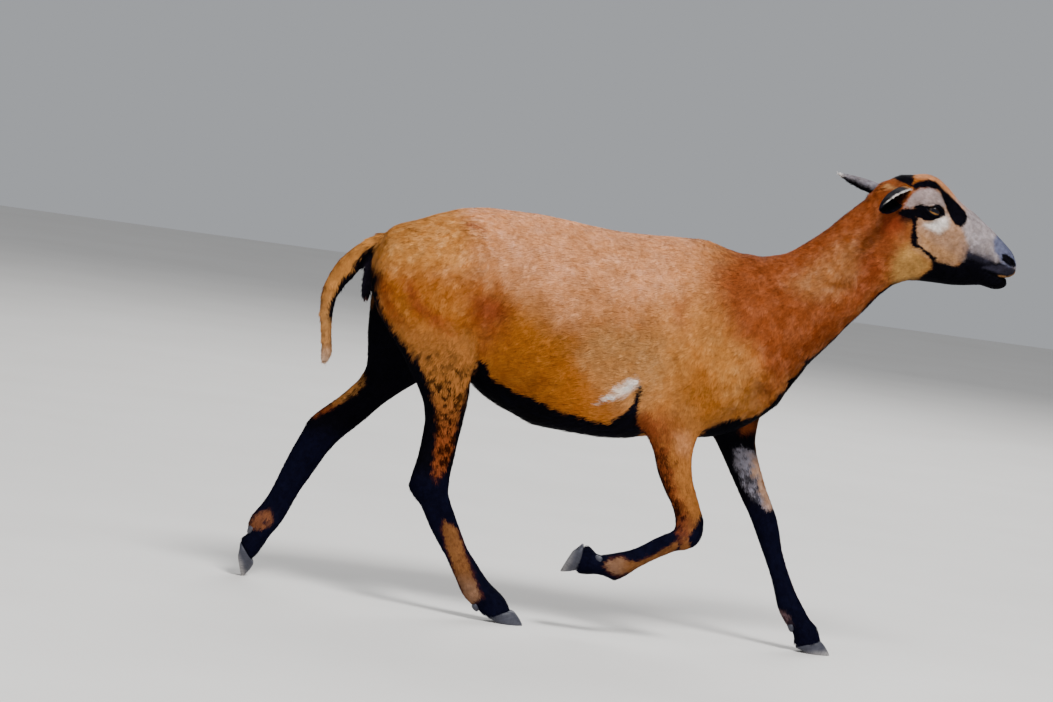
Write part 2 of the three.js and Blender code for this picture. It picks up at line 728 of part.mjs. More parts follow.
// Rings of points joined into one closed solid; each end is closed by a strip across the ring.
function loft(rings) {
  const n = rings[0].length;
  const vertices = rings.flat();
  const triangles = [];
  for (let r = 0; r < rings.length - 1; r++) {
    for (let i = 0; i < n; i++) {
      const a = r * n + i;
      const b = r * n + ((i + 1) % n);
      triangles.push([a, b, b + n], [a, b + n, a + n]);
    }
  }
  const last = (rings.length - 1) * n;
  for (let i = 0; i < n / 2 - 1; i++) {
    const j = n - 1 - i;
    triangles.push([i, j, j - 1], [i, j - 1, i + 1]);
    triangles.push([last + i, last + j - 1, last + j], [last + i, last + i + 1, last + j - 1]);
  }
  const solid = solidOf({ vertices, triangles });
  if (solid.volume() > 0) return solid;
  return solidOf({ vertices, triangles: triangles.map(([a, b, c]) => [a, c, b]) });
}

// A prism: an outline in the X-Z plane, between two side offsets.
function prism(outline, yFrom, yTo) {
  const shape = new THREE.Shape(outline.map(([x, z]) => new THREE.Vector2(x, z)));
  const geometry = new THREE.ExtrudeGeometry(shape, { depth: yTo - yFrom, bevelEnabled: false });
  geometry.rotateX(Math.PI / 2);
  geometry.translate(0, yTo, 0);
  return solidOfGeometry(geometry);
}

// The same outline, moved outwards by a distance (inwards where it is negative).
function offsetOutline(outline, distance) {
  const area = outline.reduce((sum, [x, z], i) => {
    const [x2, z2] = outline[(i + 1) % outline.length];
    return sum + x * z2 - x2 * z;
  }, 0);
  const turn = Math.sign(area);
  const normal = (a, b) => {
    const length = Math.hypot(b[0] - a[0], b[1] - a[1]);
    return [(turn * (b[1] - a[1])) / length, (-turn * (b[0] - a[0])) / length];
  };
  return outline.map((p, i) => {
    const before = normal(outline[(i + outline.length - 1) % outline.length], p);
    const after = normal(p, outline[(i + 1) % outline.length]);
    const scale = distance / (1 + before[0] * after[0] + before[1] * after[1]);
    return [p[0] + scale * (before[0] + after[0]), p[1] + scale * (before[1] + after[1])];
  });
}

const WIDE = 220;                // further out than any side of the animal

// Everything to the right of the line from a to b in the X-Z plane, moved out by a shift.
function beyond([a, b], shift) {
  const length = Math.hypot(b[0] - a[0], b[1] - a[1]);
  const t = [(b[0] - a[0]) / length, (b[1] - a[1]) / length];
  const n = [t[1], -t[0]];
  const reach = 1500;
  const point = (along, out) => [
    a[0] + t[0] * along + n[0] * (out + shift),
    a[1] + t[1] * along + n[1] * (out + shift),
  ];
  const square = [point(-reach, 0), point(reach, 0), point(reach, reach), point(-reach, reach)];
  return prism(square, -WIDE, WIDE);
}

const keepBeyond = (solid, cut) => solid.intersect(beyond(cut, GAP / 2));
const keepBefore = (solid, cut) => solid.subtract(beyond(cut, -GAP / 2));

// ---------------------------------------------------------------- where the body is divided
// A cut is a line in the side view; the part further from the trunk lies to its right.

const FLOOR = [[-600, GROUND - GAP / 2], [900, GROUND - GAP / 2]];
const HEAD_CUT = [[538, 543], [478, 735]];
const NECK_CUT = [[412, 390], [302, 606]];

const MOUTH = [
  [706, 594], [688, 595.5], [660, 597], [600, 599], [556, 606], [540, 594], [540, 550], [706, 550],
];
const TAIL_REGION = [
  [-340, 320], [-340, 570], [-266, 556], [-240, 504], [-255, 482], [-263, 465], [-267, 320],
];

const RIGHT_THIGH = [
  [-270, 250], [-270, 468], [-247, 490], [-229, 514], [-196, 532], [-150, 538], [-108, 528],
  [-76, 498], [-56, 452], [-54, 400], [-62, 352], [-62, 250],
];
const LEFT_THIGH = [
  [-270, 250], [-270, 468], [-247, 490], [-229, 514], [-196, 532], [-150, 538], [-108, 528],
  [-76, 498], [-56, 452], [-58, 405], [-76, 372], [-100, 340], [-118, 312], [-132, 285],
  [-140, 250],
];
const RIGHT_SHOULDER = [
  [168, 240], [166, 330], [172, 360], [186, 402], [204, 470], [226, 530], [258, 556],
  [292, 536], [328, 478], [350, 430], [352, 385], [330, 345], [298, 324], [290, 240],
];
const LEFT_SHOULDER = [
  [246, 240], [238, 302], [228, 345], [226, 402], [230, 470], [238, 530], [262, 556],
  [292, 536], [330, 478], [358, 430], [372, 385], [372, 342], [400, 325], [400, 240],
];
const WHOLE_SIDE = [[-600, -50], [-600, 760], [760, 760], [760, -50]];
const THIGH_INNER = 14;
const SHOULDER_INNER = 34;

// Each leg: its side, its region on the trunk, the cuts down it, the bones that its lengths
// follow, and its hoof (the heel's place on the sole and the turn of the sole, in degrees).
const LEGS = {
  right_hind: {
    side: -1,
    region: RIGHT_THIGH,
    inner: THIGH_INNER,
    names: ["thigh", "gaskin", "cannon", "pastern"],
    cuts: [[[-175, 322], [-58, 322]], [[-147, 142], [-63, 194]], [[-80, 39], [-5, 84]]],
    bones: [[[-140, 560], [-130, 300]], [[-112, 345], [-112, 135]], [[-126, 188], [-22, 24]],
      [[-52, 66], [26, -6]]],
    hoof: { heel: [-5, -3], turn: 0 },
    dewclaw: { at: [-26, 20], turn: -35 },
  },
  left_hind: {
    side: 1,
    region: LEFT_THIGH,
    inner: THIGH_INNER,
    names: ["thigh", "gaskin", "cannon", "pastern"],
    cuts: [[[-238, 366], [-172, 297]], [[-330, 230], [-245, 191]], [[-385, 116], [-305, 79]]],
    bones: [[[-130, 560], [-200, 300]], [[-176, 356], [-306, 188]], [[-282, 240], [-358, 70]],
      [[-340, 112], [-378, 10]]],
    hoof: { heel: [-391.4, 45.8], turn: -74.3 },
    dewclaw: { at: [-370, 72], turn: 30 },
  },
  left_fore: {
    side: 1,
    region: LEFT_SHOULDER,
    inner: SHOULDER_INNER,
    names: ["shoulder", "forearm", "cannon", "pastern"],
    cuts: [[[262, 290], [380, 337]], [[345, 160], [425, 200]], [[395, 62], [470, 95]]],
    bones: [[[290, 570], [310, 280]], [[310, 336], [398, 152]], [[372, 208], [446, 58]],
      [[432, 92], [478, -6]]],
    hoof: { heel: [458, -3], turn: 0 },
    dewclaw: { at: [447, 37], turn: -15 },
  },
  right_fore: {
    side: -1,
    region: RIGHT_SHOULDER,
    inner: SHOULDER_INNER,
    names: ["shoulder", "forearm", "cannon", "pastern"],
    cuts: [[[172, 296], [280, 318]], [[247, 178], [272, 136]], [[176, 135], [192, 80]]],
    bones: [[[260, 570], [250, 280]], [[226, 326], [276, 130]], [[286, 160], [160, 96]],
      [[204, 108], [104, 100]]],
    hoof: { heel: [115.7, 132.5], turn: 244.5 },
    dewclaw: { at: [150, 108], turn: 120 },
  },
};

// ---------------------------------------------------------------- parts of the flesh

const FLESH = { colour: 0xa8703f, roughness: 0.9 };
const DARK_FLESH = { colour: 0x211c1c, roughness: 0.85 };
const HORN = { colour: 0x7d7a78, roughness: 0.55 };
const EYE = { colour: 0x1a120b, roughness: 0.08 };

const sheep = new THREE.Group();
sheep.name = "cameroon_sheep";
sheep.position.set(-MID_X, 0, -GROUND);

function addPart(name, solid, finish) {
  const material = new THREE.MeshStandardMaterial({
    color: finish.colour,
    roughness: finish.roughness,
    metalness: 0,
  });
  const mesh = new THREE.Mesh(geometryOf(solid), material);
  mesh.name = name;
  sheep.add(mesh);
}

// Moves a net's points straight out from the field by a distance.
function grown(net, distance) {
  const vertices = net.vertices.map(([x, y, z]) => {
    const g = gradient(bodyField, x, y, z, 1);
    const length = Math.hypot(...g);
    return [x + (g[0] * distance) / length, y + (g[1] * distance) / length,
      z + (g[2] * distance) / length];
  });
  return solidOf({ vertices, triangles: net.triangles });
}

// A box of cells round a bone, turned to lie along it.
function boneBox([a, b], side, breadth, cell) {
  const length = Math.hypot(b[0] - a[0], b[1] - a[1]);
  const middle = [(a[0] + b[0]) / 2, side, (a[1] + b[1]) / 2];
  const size = [breadth[0], breadth[1], length];
  return {
    low: middle.map((v, i) => v - size[i] / 2),
    high: middle.map((v, i) => v + size[i] / 2),
    cell,
    turn: Math.atan2(a[0] - b[0], a[1] - b[1]),
  };
}

function addTrunk() {
  const net = bodyNet({
    low: [-290, -144, 250],
    high: [430, 144, 634],
    cell: [24, 19, 21],
  }, 1.8);
  let trunk = keepBefore(solidOf(net), NECK_CUT);
  trunk = trunk.subtract(prism(TAIL_REGION, -WIDE, WIDE));
  for (const { side, region, inner } of Object.values(LEGS)) {
    const [from, to] = side > 0 ? [inner, WIDE] : [-WIDE, -inner];
    trunk = trunk.subtract(prism(region, from, to));
  }
  addPart("trunk", trunk, FLESH);
}

function addNeck() {
  const net = bodyNet({
    low: [235, -96, 440],
    high: [595, 96, 650],
    cell: [18, 15, 16],
    turn: -Math.PI / 4,
  }, 1.2);
  addPart("neck", keepBefore(keepBeyond(solidOf(net), NECK_CUT), HEAD_CUT), FLESH);
}

function addTail() {
  const net = bodyNet({
    low: [-322, -30, 326],
    high: [-220, 30, 562],
    cell: [8, 7, 11],
  }, 0.9);
  const tail = solidOf(net).intersect(prism(offsetOutline(TAIL_REGION, -GAP), -WIDE, WIDE));
  addPart("tail", tail, FLESH);
}

function eyeball(side, radius) {
  const ball = new THREE.SphereGeometry(radius, 12, 8);
  ball.translate(EYE_AT[0], side * EYE_AT[1], EYE_AT[2]);
  return solidOfGeometry(ball);
}

function addHead() {
  const net = bodyNet({
    low: [462, -72, 556],
    high: [708, 72, 744],
    cell: [8, 7.5, 7.7],
  }, 0.75);
  let head = keepBeyond(solidOf(net), HEAD_CUT);
  const jaw = head.intersect(prism(offsetOutline(MOUTH, -GAP), -WIDE, WIDE));
  head = head.subtract(prism(MOUTH, -WIDE, WIDE));
  for (const side of [1, -1]) {
    head = head.subtract(eyeball(side, EYE_RADIUS + GAP));
    addPart(side > 0 ? "eye_left" : "eye_right", eyeball(side, EYE_RADIUS), EYE);
  }
  addPart("head", head, FLESH);
  addPart("lower_jaw", jaw, DARK_FLESH);
  const skin = grown(net, 1.5 * GAP);
  addPart("ear_right", earSolid(RIGHT_EAR).subtract(skin), DARK_FLESH);
  addPart("ear_left", earSolid(LEFT_EAR).subtract(skin), DARK_FLESH);
}

// ---------------------------------------------------------------- ears
// Each ear is a leaf rolled into a trough: its root and tip, the way its mouth faces, its
// breadth laid flat, and the half-angle of the roll at root and tip, in radians.

const RIGHT_EAR = {
  root: [514, -36, 702],
  tip: [477, -113, 674],
  mouth: [0.88, -0.3, -0.33],
  width: 60,
  roll: [2.1, 1.4],
};
const LEFT_EAR = {
  root: [508, 36, 697],
  tip: [419, 84, 718],
  mouth: [0.1, 0.3, -0.94],
  width: 46,
  roll: [2.4, 1.9],
};
const EAR_RINGS = 8;
const EAR_POINTS = 8;            // across each face of the ear

// Half the breadth of the leaf, measured round the trough.
function earHalfBreadth(width, t) {
  const swell = Math.max(Math.sin(Math.PI * (0.24 + 0.76 * t) ** 0.95), 0);
  return 1.5 + (width / 2) * swell ** 0.7;
}

function earSolid({ root, tip, mouth, width, roll }) {
  const start = new THREE.Vector3(...root);
  const axis = new THREE.Vector3(...tip).sub(start);
  const length = axis.length();
  axis.normalize();
  const facing = new THREE.Vector3(...mouth);
  facing.addScaledVector(axis, -facing.dot(axis)).normalize();
  const across = new THREE.Vector3().crossVectors(axis, facing);
  const rings = [];
  for (let r = 0; r < EAR_RINGS; r++) {
    const t = r / (EAR_RINGS - 1);
    const half = roll[0] + (roll[1] - roll[0]) * t ** 0.8;
    const radius = earHalfBreadth(width, t) / half;
    const centre = start.clone().addScaledVector(axis, length * t);
    const point = (angle, depth) => centre.clone()
      .addScaledVector(across, (radius - depth) * Math.sin(angle))
      .addScaledVector(facing, 0.35 * radius - (radius - depth) * Math.cos(angle))
      .toArray();
    const outer = [];
    const inner = [];
    for (let i = 0; i < EAR_POINTS; i++) {
      const f = (2 * i) / (EAR_POINTS - 1) - 1;
      const thick = EAR_THICKNESS * (1 - 0.5 * f * f) * (1 - 0.55 * t);
      outer.push(point(f * half, 0));
      inner.unshift(point(f * half, thick));
    }
    rings.push([...outer, ...inner]);
  }
  return loft(rings);
}

// ---------------------------------------------------------------- feet

// From a hoof's own frame (forwards along the sole, side, up from the sole) to the animal's.
function fromHoof({ heel, turn }, side) {
  const angle = THREE.MathUtils.degToRad(turn);
  const c = Math.cos(angle);
  const s = Math.sin(angle);
  return (x, y, z) => [heel[0] + x * c - z * s, side * FOOT_SIDE + y, heel[1] + x * s + z * c];
}

function coronetCut(hoof, side) {
  const place = fromHoof(hoof, side);
  const [ax, , az] = place(0, 0, HEEL_HEIGHT);
  const [bx, , bz] = place(CORONET_LENGTH, 0, HOOF_HEIGHT);
  return [[ax, az], [bx, bz]];
}

// One claw: a ring on the sole, one part way up the wall and one under the coronet.
function clawSolid(place, outwards) {
  const steps = 6;
  const heights = [0, 0.45, 1];
  const rings = heights.map((h) => {
    const length = HOOF_LENGTH + (CORONET_LENGTH - HOOF_LENGTH) * h;
    const start = 1.5 * h;
    const width = CLAW_WIDTH * (1 - 0.06 * h);
    const height = (x) => {
      const top = HEEL_HEIGHT + ((HOOF_HEIGHT - HEEL_HEIGHT) * x) / CORONET_LENGTH;
      return h * (top - GAP);
    };
    const outer = [];
    const inner = [];
    for (let i = 0; i < steps; i++) {
      const a = (Math.PI * (i + 0.5)) / steps;
      const x = start + ((length - start) * (1 - Math.cos(a))) / 2;
      const y = CLEFT / 2 + width * Math.sin(a) ** 0.7 * (1 - (0.3 * x) / HOOF_LENGTH);
      outer.push(place(x, outwards * y, height(x)));
      inner.unshift(place(x, outwards * (CLEFT / 2), height(x)));
    }
    return [...outer, ...inner];
  });
  return loft(rings);
}

// A blunt little horn cone behind the pastern, turned about +Y.
function dewclawSolid({ at, turn }, side, outwards) {
  const profile = [[0, 0], [0.8, 0], [1, 0.3], [0.85, 0.65], [0.5, 0.9], [0, 1]];
  const points = profile.map(([r, h]) =>
    new THREE.Vector2(r * DEWCLAW_RADIUS, -h * DEWCLAW_LENGTH));
  const geometry = new THREE.LatheGeometry(points.reverse(), 7);
  geometry.rotateX(Math.PI / 2);
  geometry.rotateY(THREE.MathUtils.degToRad(turn));
  geometry.translate(at[0], side * FOOT_SIDE + outwards * DEWCLAW_SPREAD, at[1]);
  return solidOfGeometry(geometry);
}

// For each length of a leg, downwards: how far out its box is centred, the box's breadth
// along and across the animal, its cells, and how far its facets may stray.
const LEG_BOXES = [
  { middle: 75, breadth: [190, 150], cell: [19, 17, 19], tolerance: 1.6 },
  { middle: 62, breadth: [140, 84], cell: [12, 11, 14], tolerance: 1 },
  { middle: 62, breadth: [80, 56], cell: [8.5, 8, 12], tolerance: 0.9 },
  { middle: 62, breadth: [84, 60], cell: [8.5, 8, 9], tolerance: 0.9 },
];

function addLeg(name, { side, region, inner, names, cuts, bones, hoof, dewclaw }) {
  const lowerCuts = [...cuts, coronetCut(hoof, side)];
  bones.forEach((bone, i) => {
    const { middle, breadth, cell, tolerance } = LEG_BOXES[i];
    const net = bodyNet(boneBox(bone, side * middle, breadth, cell), tolerance);
    let solid = keepBefore(solidOf(net), lowerCuts[i]);
    if (i > 0) solid = keepBeyond(solid, lowerCuts[i - 1]);
    if (i < 2) {
      const outline = i === 0 ? offsetOutline(region, -GAP) : WHOLE_SIDE;
      const [from, to] = side > 0 ? [inner + GAP, WIDE] : [-WIDE, -inner - GAP];
      solid = solid.intersect(prism(outline, from, to));
    }
    const finish = i < 2 ? FLESH : DARK_FLESH;
    addPart(`${name}_${names[i]}`, solid, finish);
    if (i !== 3) return;
    const skin = grown(net, 1.5 * GAP);
    for (const outwards of [1, -1]) {
      const which = outwards * side > 0 ? "outer" : "inner";
      const claw = keepBefore(clawSolid(fromHoof(hoof, side), outwards), FLOOR);
      addPart(`${name}_hoof_${which}`, claw, HORN);
      const spur = dewclawSolid(dewclaw, side, outwards).subtract(skin);
      addPart(`${name}_dewclaw_${which}`, spur, HORN);
    }
  });
}

addTrunk();
addNeck();
addTail();
addHead();
for (const [name, leg] of Object.entries(LEGS)) addLeg(name, leg);

export default sheep;
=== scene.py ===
"""Looks for a life-size Cameroon hair sheep ewe at the trot: skin, coat of hair, eyes and hooves.

Sizes in the section tables are millimetres in the section frame: +X forwards, +Y the animal's
left, +Z up, with the ground at z = -3. Everything made from them is in metres in the row's frame.
"""

import json
import math

import bpy
import numpy as np
from bpy.props import FloatProperty, FloatVectorProperty, IntProperty, PointerProperty
from mathutils import Matrix, Vector

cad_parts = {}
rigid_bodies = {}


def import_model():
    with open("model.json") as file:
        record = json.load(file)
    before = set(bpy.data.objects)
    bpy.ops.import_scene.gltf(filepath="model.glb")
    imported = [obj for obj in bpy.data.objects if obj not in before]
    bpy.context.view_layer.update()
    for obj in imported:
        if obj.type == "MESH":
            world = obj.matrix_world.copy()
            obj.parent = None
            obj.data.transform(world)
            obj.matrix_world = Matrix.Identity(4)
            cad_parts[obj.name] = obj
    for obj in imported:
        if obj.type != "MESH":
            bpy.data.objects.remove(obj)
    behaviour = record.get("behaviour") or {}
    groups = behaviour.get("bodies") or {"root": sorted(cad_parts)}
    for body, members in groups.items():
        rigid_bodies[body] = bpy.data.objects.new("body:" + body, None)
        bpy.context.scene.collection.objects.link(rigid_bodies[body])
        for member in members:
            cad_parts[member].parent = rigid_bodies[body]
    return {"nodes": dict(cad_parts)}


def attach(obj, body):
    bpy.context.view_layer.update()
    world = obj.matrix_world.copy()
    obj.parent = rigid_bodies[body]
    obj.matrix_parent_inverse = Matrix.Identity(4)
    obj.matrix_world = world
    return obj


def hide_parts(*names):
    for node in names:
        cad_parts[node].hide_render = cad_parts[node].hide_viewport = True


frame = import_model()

bl_info = {
    "name": "Cameroon hair sheep",
    "version": (1, 0, 0),
    "blender": (4, 5, 0),
    "location": "3D View > Sidebar > Sheep",
    "description": "Builds the skin, coat, eyes and hooves of a life-size hair sheep",
    "category": "Object",
}

MM = 0.001
MID_X = 153.2                    # the row frame's middle and ground in the section frame
GROUND = -3.0
UV_NAME = "OFBake"

# ---------------------------------------------------------------- section tables
# A stack of oval sections has the directions along and across it in the side view, the power of
# its ovals, and a row for each section: its place along the stack, its low and high (or back and
# front) edge, its side offset and half-width, and how far up its widest line lies where that
# isn't the middle.

DIAGONAL = math.sqrt(0.5)
FORWARDS = ((1.0, 0.0), (0.0, 1.0))
UPWARDS = ((0.0, 1.0), (1.0, 0.0))
RISING = ((DIAGONAL, DIAGONAL), (-DIAGONAL, DIAGONAL))   # the neck rises at 45 degrees
LEG_POWER = 2.15

TRUNK = (FORWARDS, 2.25, [
    (-244, 474, 500, 0, 12), (-236, 452, 522, 0, 32), (-217, 432, 552, 0, 55, 0.52),
    (-180, 410, 568, 0, 74, 0.55), (-150, 396, 581, 0, 82, 0.56), (-109, 368, 594, 0, 87, 0.55),
    (-70, 330, 598, 0, 91, 0.52), (-42, 312, 598, 0, 99), (-11, 299, 598, 0, 107, 0.48),
    (34, 285, 595, 0, 116, 0.47), (77, 283, 591, 0, 120.5, 0.47), (119, 282, 589, 0, 121, 0.47),
    (160, 285, 590, 0, 117.5, 0.48), (193, 292, 592, 0, 111, 0.48), (235, 298, 593, 0, 101, 0.47),
    (270, 300, 586, 0, 93, 0.46), (305, 309, 570, 0, 85, 0.45), (335, 326, 535, 0, 75, 0.46),
    (360, 346, 490, 0, 60, 0.48), (376, 364, 450, 0, 42), (388, 388, 420, 0, 12),
])
NECK = (RISING, 2.1, [
    (545, 12, 172, 0, 70, 0.45), (575, 6, 186, 0, 74, 0.45), (600, 10, 193, 0, 72, 0.45),
    (625, 12.5, 190, 0, 67, 0.45), (647, 15, 176, 0, 62, 0.46), (677, 20, 162, 0, 56, 0.47),
    (710, 24, 158, 0, 51, 0.48), (743, 29, 156, 0, 47, 0.48), (775, 30, 157, 0, 45, 0.48),
    (803, 40, 157, 0, 42), (842, 60, 158, 0, 36), (866, 90, 140, 0, 18),
])
HEAD = (FORWARDS, 2.2, [
    (474, 640, 690, 0, 22, 0.55), (484, 610, 706, 0, 34, 0.56), (496, 588, 717, 0, 42, 0.58),
    (510, 575, 725, 0, 47, 0.6), (530, 571, 729, 0, 51, 0.62), (549, 573, 732, 0, 53, 0.64),
    (563, 574, 729, 0, 52, 0.65), (580, 574, 718, 0, 48, 0.64), (600, 574, 701, 0, 41, 0.61),
    (620, 575.5, 688, 0, 34, 0.57), (640, 578.5, 674, 0, 28.5, 0.53), (655, 580.5, 664, 0, 25),
    (668, 585, 653.5, 0, 23, 0.48), (680, 591.5, 643.5, 0, 22.5, 0.48),
    (689, 597, 634.5, 0, 20, 0.48), (695, 602, 624, 0, 13), (698, 608, 614, 0, 4),
])
TAIL = (UPWARDS, 2, [
    (338, -297, -292, 0, 3), (343, -299.5, -287, 0, 6), (355, -301, -284.5, 0, 8),
    (370, -302.5, -287, 0, 9), (394, -307, -290, 0, 10), (410, -310, -290.5, 0, 10.5),
    (431, -311, -289, 0, 11), (450, -308.5, -280, 0, 12), (470, -302, -266, 0, 13),
    (490, -291, -252, 0, 14), (510, -273, -238, 0, 16), (528, -252, -222, 0, 18),
    (540, -238, -215, 0, 14),
])
RIGHT_HIND = (UPWARDS, LEG_POWER, [
    (6, -13, 28, -64, 19), (14, -22, 29, -64, 19), (22, -35, 25.5, -64, 18),
    (33, -47, 17.5, -64, 17), (57, -62, -11, -63, 16), (83, -78, -33, -62, 12.5),
    (99, -90, -46, -61.5, 12), (123, -107, -59, -61, 12), (153, -125, -74.5, -61, 13.5),
    (168, -139, -81.5, -61, 15, 0.55), (180, -145, -85, -61, 16, 0.6),
    (200, -142.5, -85, -61, 15, 0.6), (219, -139, -83, -61.5, 15.5, 0.6),
    (248, -136.5, -80, -62, 18, 0.55), (274, -136, -77, -62, 21, 0.52), (300, -141, -74, -62, 24),
    (325, -153, -72, -61, 28), (350, -169, -73, -59, 31), (375, -186, -71, -56, 34),
    (400, -206, -66, -53, 37), (430, -227, -58, -51, 39, 0.48), (465, -240, -56, -49, 40, 0.46),
    (500, -234, -66, -46, 38, 0.45), (530, -212, -82, -42, 32, 0.45),
    (550, -190, -100, -36, 20, 0.45),
])
LEFT_HIND = (UPWARDS, LEG_POWER, [
    (24, -371, -365, 64, 8), (34, -380, -357, 64, 15), (45, -385.5, -351, 64, 18),
    (54, -384, -346, 64, 18.5), (63, -377, -341.5, 64, 18), (76, -378, -333, 64, 17),
    (88, -375, -326, 63.5, 15.5), (104, -365, -319, 63, 13), (128, -352.5, -309.5, 62, 12),
    (164, -340, -291, 61, 12.5), (199, -327.5, -272, 61, 14), (225, -317, -252, 61, 16, 0.45),
    (241, -311, -236, 61.5, 16.5, 0.45), (254, -301, -223, 62, 17),
    (283, -271, -196, 62, 20, 0.52), (300, -256, -177, 62, 23, 0.52),
    (318, -243, -155, 61, 26, 0.52), (340, -236, -128, 59, 29, 0.52), (366, -238, -98, 57, 33),
    (396, -241, -78, 54, 36, 0.48), (430, -242, -64, 51, 39, 0.47), (465, -241, -58, 49, 40, 0.46),
    (500, -234, -66, 46, 38, 0.45), (530, -212, -82, 42, 32, 0.45),
    (550, -190, -100, 36, 20, 0.45),
])
LEFT_FORE = (UPWARDS, LEG_POWER, [
    (8, 455, 491, 64, 18), (17, 454, 495, 64, 18.5), (27, 449, 492, 64, 18),
    (37, 438, 487, 64, 17), (48, 430, 475, 64, 16.5), (60, 423, 466, 64, 15.5),
    (85, 414, 449, 63, 12), (113, 402, 434, 62, 11.5), (145, 386, 420, 62, 12.5),
    (174, 371, 411.5, 62, 15.5), (192, 361, 405, 62, 16.5), (215, 346, 393.5, 62, 15.5),
    (240, 330, 381, 62, 16.5), (267, 313, 370, 62, 20, 0.52), (290, 298, 362, 62, 24, 0.52),
    (308, 284, 359, 61, 27, 0.52), (332, 264, 360, 60, 30, 0.52), (362, 248, 364, 58, 32, 0.52),
    (400, 240, 366, 54, 33), (440, 238, 354, 50, 33), (480, 238, 326, 46, 30),
    (515, 236, 292, 42, 20),
])
RIGHT_FORE = (UPWARDS, LEG_POWER, [
    (141, 259, 272, -62, 8), (147, 254, 282, -62, 14), (156, 251.5, 289.5, -62, 16),
    (172, 250, 293, -62, 17), (187, 247, 291, -62, 16.5), (205, 238.5, 284, -62, 15),
    (224, 226, 276, -62, 15), (250, 212, 267, -62, 18, 0.52), (279, 201, 263.5, -62, 22, 0.52),
    (299, 190, 266, -62, 25, 0.52), (314, 180, 271, -61.5, 27, 0.52), (330, 175, 284, -61, 29),
    (348, 176, 302, -60, 31), (372, 183, 324, -58, 33), (402, 198, 340, -56, 34),
    (440, 216, 338, -51, 34), (480, 228, 318, -46, 30), (515, 234, 290, -42, 20),
])
FOLDED_CANNON = (FORWARDS, LEG_POWER, [
    (113, 87, 112, -64, 14), (120, 84, 121, -64, 17.5), (129, 84, 126.5, -64, 18),
    (138, 85, 121, -64, 17.5), (147, 86, 116, -64, 16.5), (160, 84.5, 119.5, -64, 16),
    (174, 81.5, 124, -64, 16), (190, 90.5, 130, -63.5, 13), (205, 103, 138.5, -63, 11.5),
    (229, 119.5, 155, -62.5, 12), (252, 133, 168, -62, 14), (268, 141, 176, -62, 13),
    (280, 150, 172, -62, 8),
])
# Soft swellings and hollows: middle, size and height, and 1 where they are on both sides.
FORMS = (
    # head
    ((561, 52, 693), (17, 12, 8), 4.5, 1),  # brow over the eye
    ((566, 52, 668), (15, 12, 6), 2.5, 1),  # lower rim of the orbit
    ((528, 50, 694), (13, 12, 11), -4, 1),  # temple
    ((592, 40, 676), (12, 13, 8), -3, 1),  # in front of the eye
    ((590, 42, 652), (26, 12, 7), 2, 1),  # cheek bone
    ((546, 44, 616), (26, 18, 24), 4.5, 1),  # chewing muscle
    ((612, 32, 606), (20, 14, 15), -2.5, 1),  # hollow of the cheek
    ((684, 20, 632), (9, 8, 8), 2.5, 1),  # wing of the nostril
    ((682, 19, 607), (12, 8, 7), 2, 1),  # upper lip
    ((634, 0, 684), (22, 9, 10), 1.5, 0),  # bridge of the nose
    ((512, 22, 722), (14, 12, 10), 2, 1),  # poll
    # neck and throat
    ((512, 40, 650), (16, 14, 26), -3, 1),  # behind the jaw
    ((440, 46, 548), (60, 12, 14), -2.5, 1),  # jugular groove
    # shoulder and breast
    ((334, 82, 410), (26, 20, 26), 6, 1),  # point of the shoulder
    ((262, 96, 392), (40, 24, 36), 6, 1),  # triceps
    ((262, 92, 500), (16, 20, 60), 4, 1),  # shoulder blade
    ((205, 106, 470), (16, 22, 70), -4, 1),  # behind the shoulder
    ((168, 96, 350), (12, 26, 22), -7, 1),  # behind the elbow
    ((236, 26, 596), (22, 14, 12), 2, 1),  # withers
    ((368, 30, 372), (20, 16, 20), 3, 1),  # breast muscle
    # barrel
    ((90, 118, 440), (70, 30, 70), 4, 1),  # spring of the ribs
    ((-30, 92, 520), (40, 22, 34), -6, 1),  # hollow of the flank
    ((-50, 92, 440), (22, 22, 46), -4, 1),  # in front of the thigh
    # quarters
    ((-98, 66, 566), (18, 18, 14), 6, 1),  # hook bone
    ((-222, 44, 536), (16, 16, 14), 4, 1),  # pin bone
    ((-150, 88, 480), (52, 20, 44), 5, 1),  # thigh muscle
    ((-190, 88, 420), (10, 18, 46), -3, 1),  # groove of the hamstrings
    ((-100, 84, 372), (24, 20, 26), 4, 1),  # stifle
)

FLAP_AT = (-245, 0, 466)
FLAP_SIZE = (8.5, 7.5, 38)
FLAP_BARE = 444                  # the flap's tip is bare below this height
CHIN_AT = (669, 0, 588)
CHIN_SIZE = (19, 19, 11.5)

# How widely the parts flow into each other.
NECK_BLEND, HEAD_BLEND, CHIN_BLEND, LEG_BLEND, KNEE_BLEND, TAIL_BLEND = 34, 16, 7, 16, 8, 12

MUZZLE_FROM = 640
MOUTH_LINE = ((640, 650, 668, 680, 689, 695), (604, 602, 598, 596, 596, 599.5))
NOSTRIL = ((672.0, 23.5, 629.0), (678.0, 23.5, 626.8), (685.0, 20.5, 622.8), (690.5, 15.5, 617.2))

EYE_RADIUS = 13.0
EYE_AT = (560.5, 42.5, 680.0)
EYE_AHEAD = (0.16, 1.0, 0.06)    # which way the left eye looks
LIDS_REACH = 34                  # the lids' folds end within this of the eye's middle
LID_THICKNESS = 2.3
LID_HALF_LENGTH = 12.0
LID_TOP, LID_BOTTOM = 5.4, 5.2   # how far the lids open above and below their corners' line
LID_TILT = -14.0                 # the front corner lies lower
TEAR_DUCT = ((571.5, 53.0, 674.5), (576.0, 50.6, 671.5))

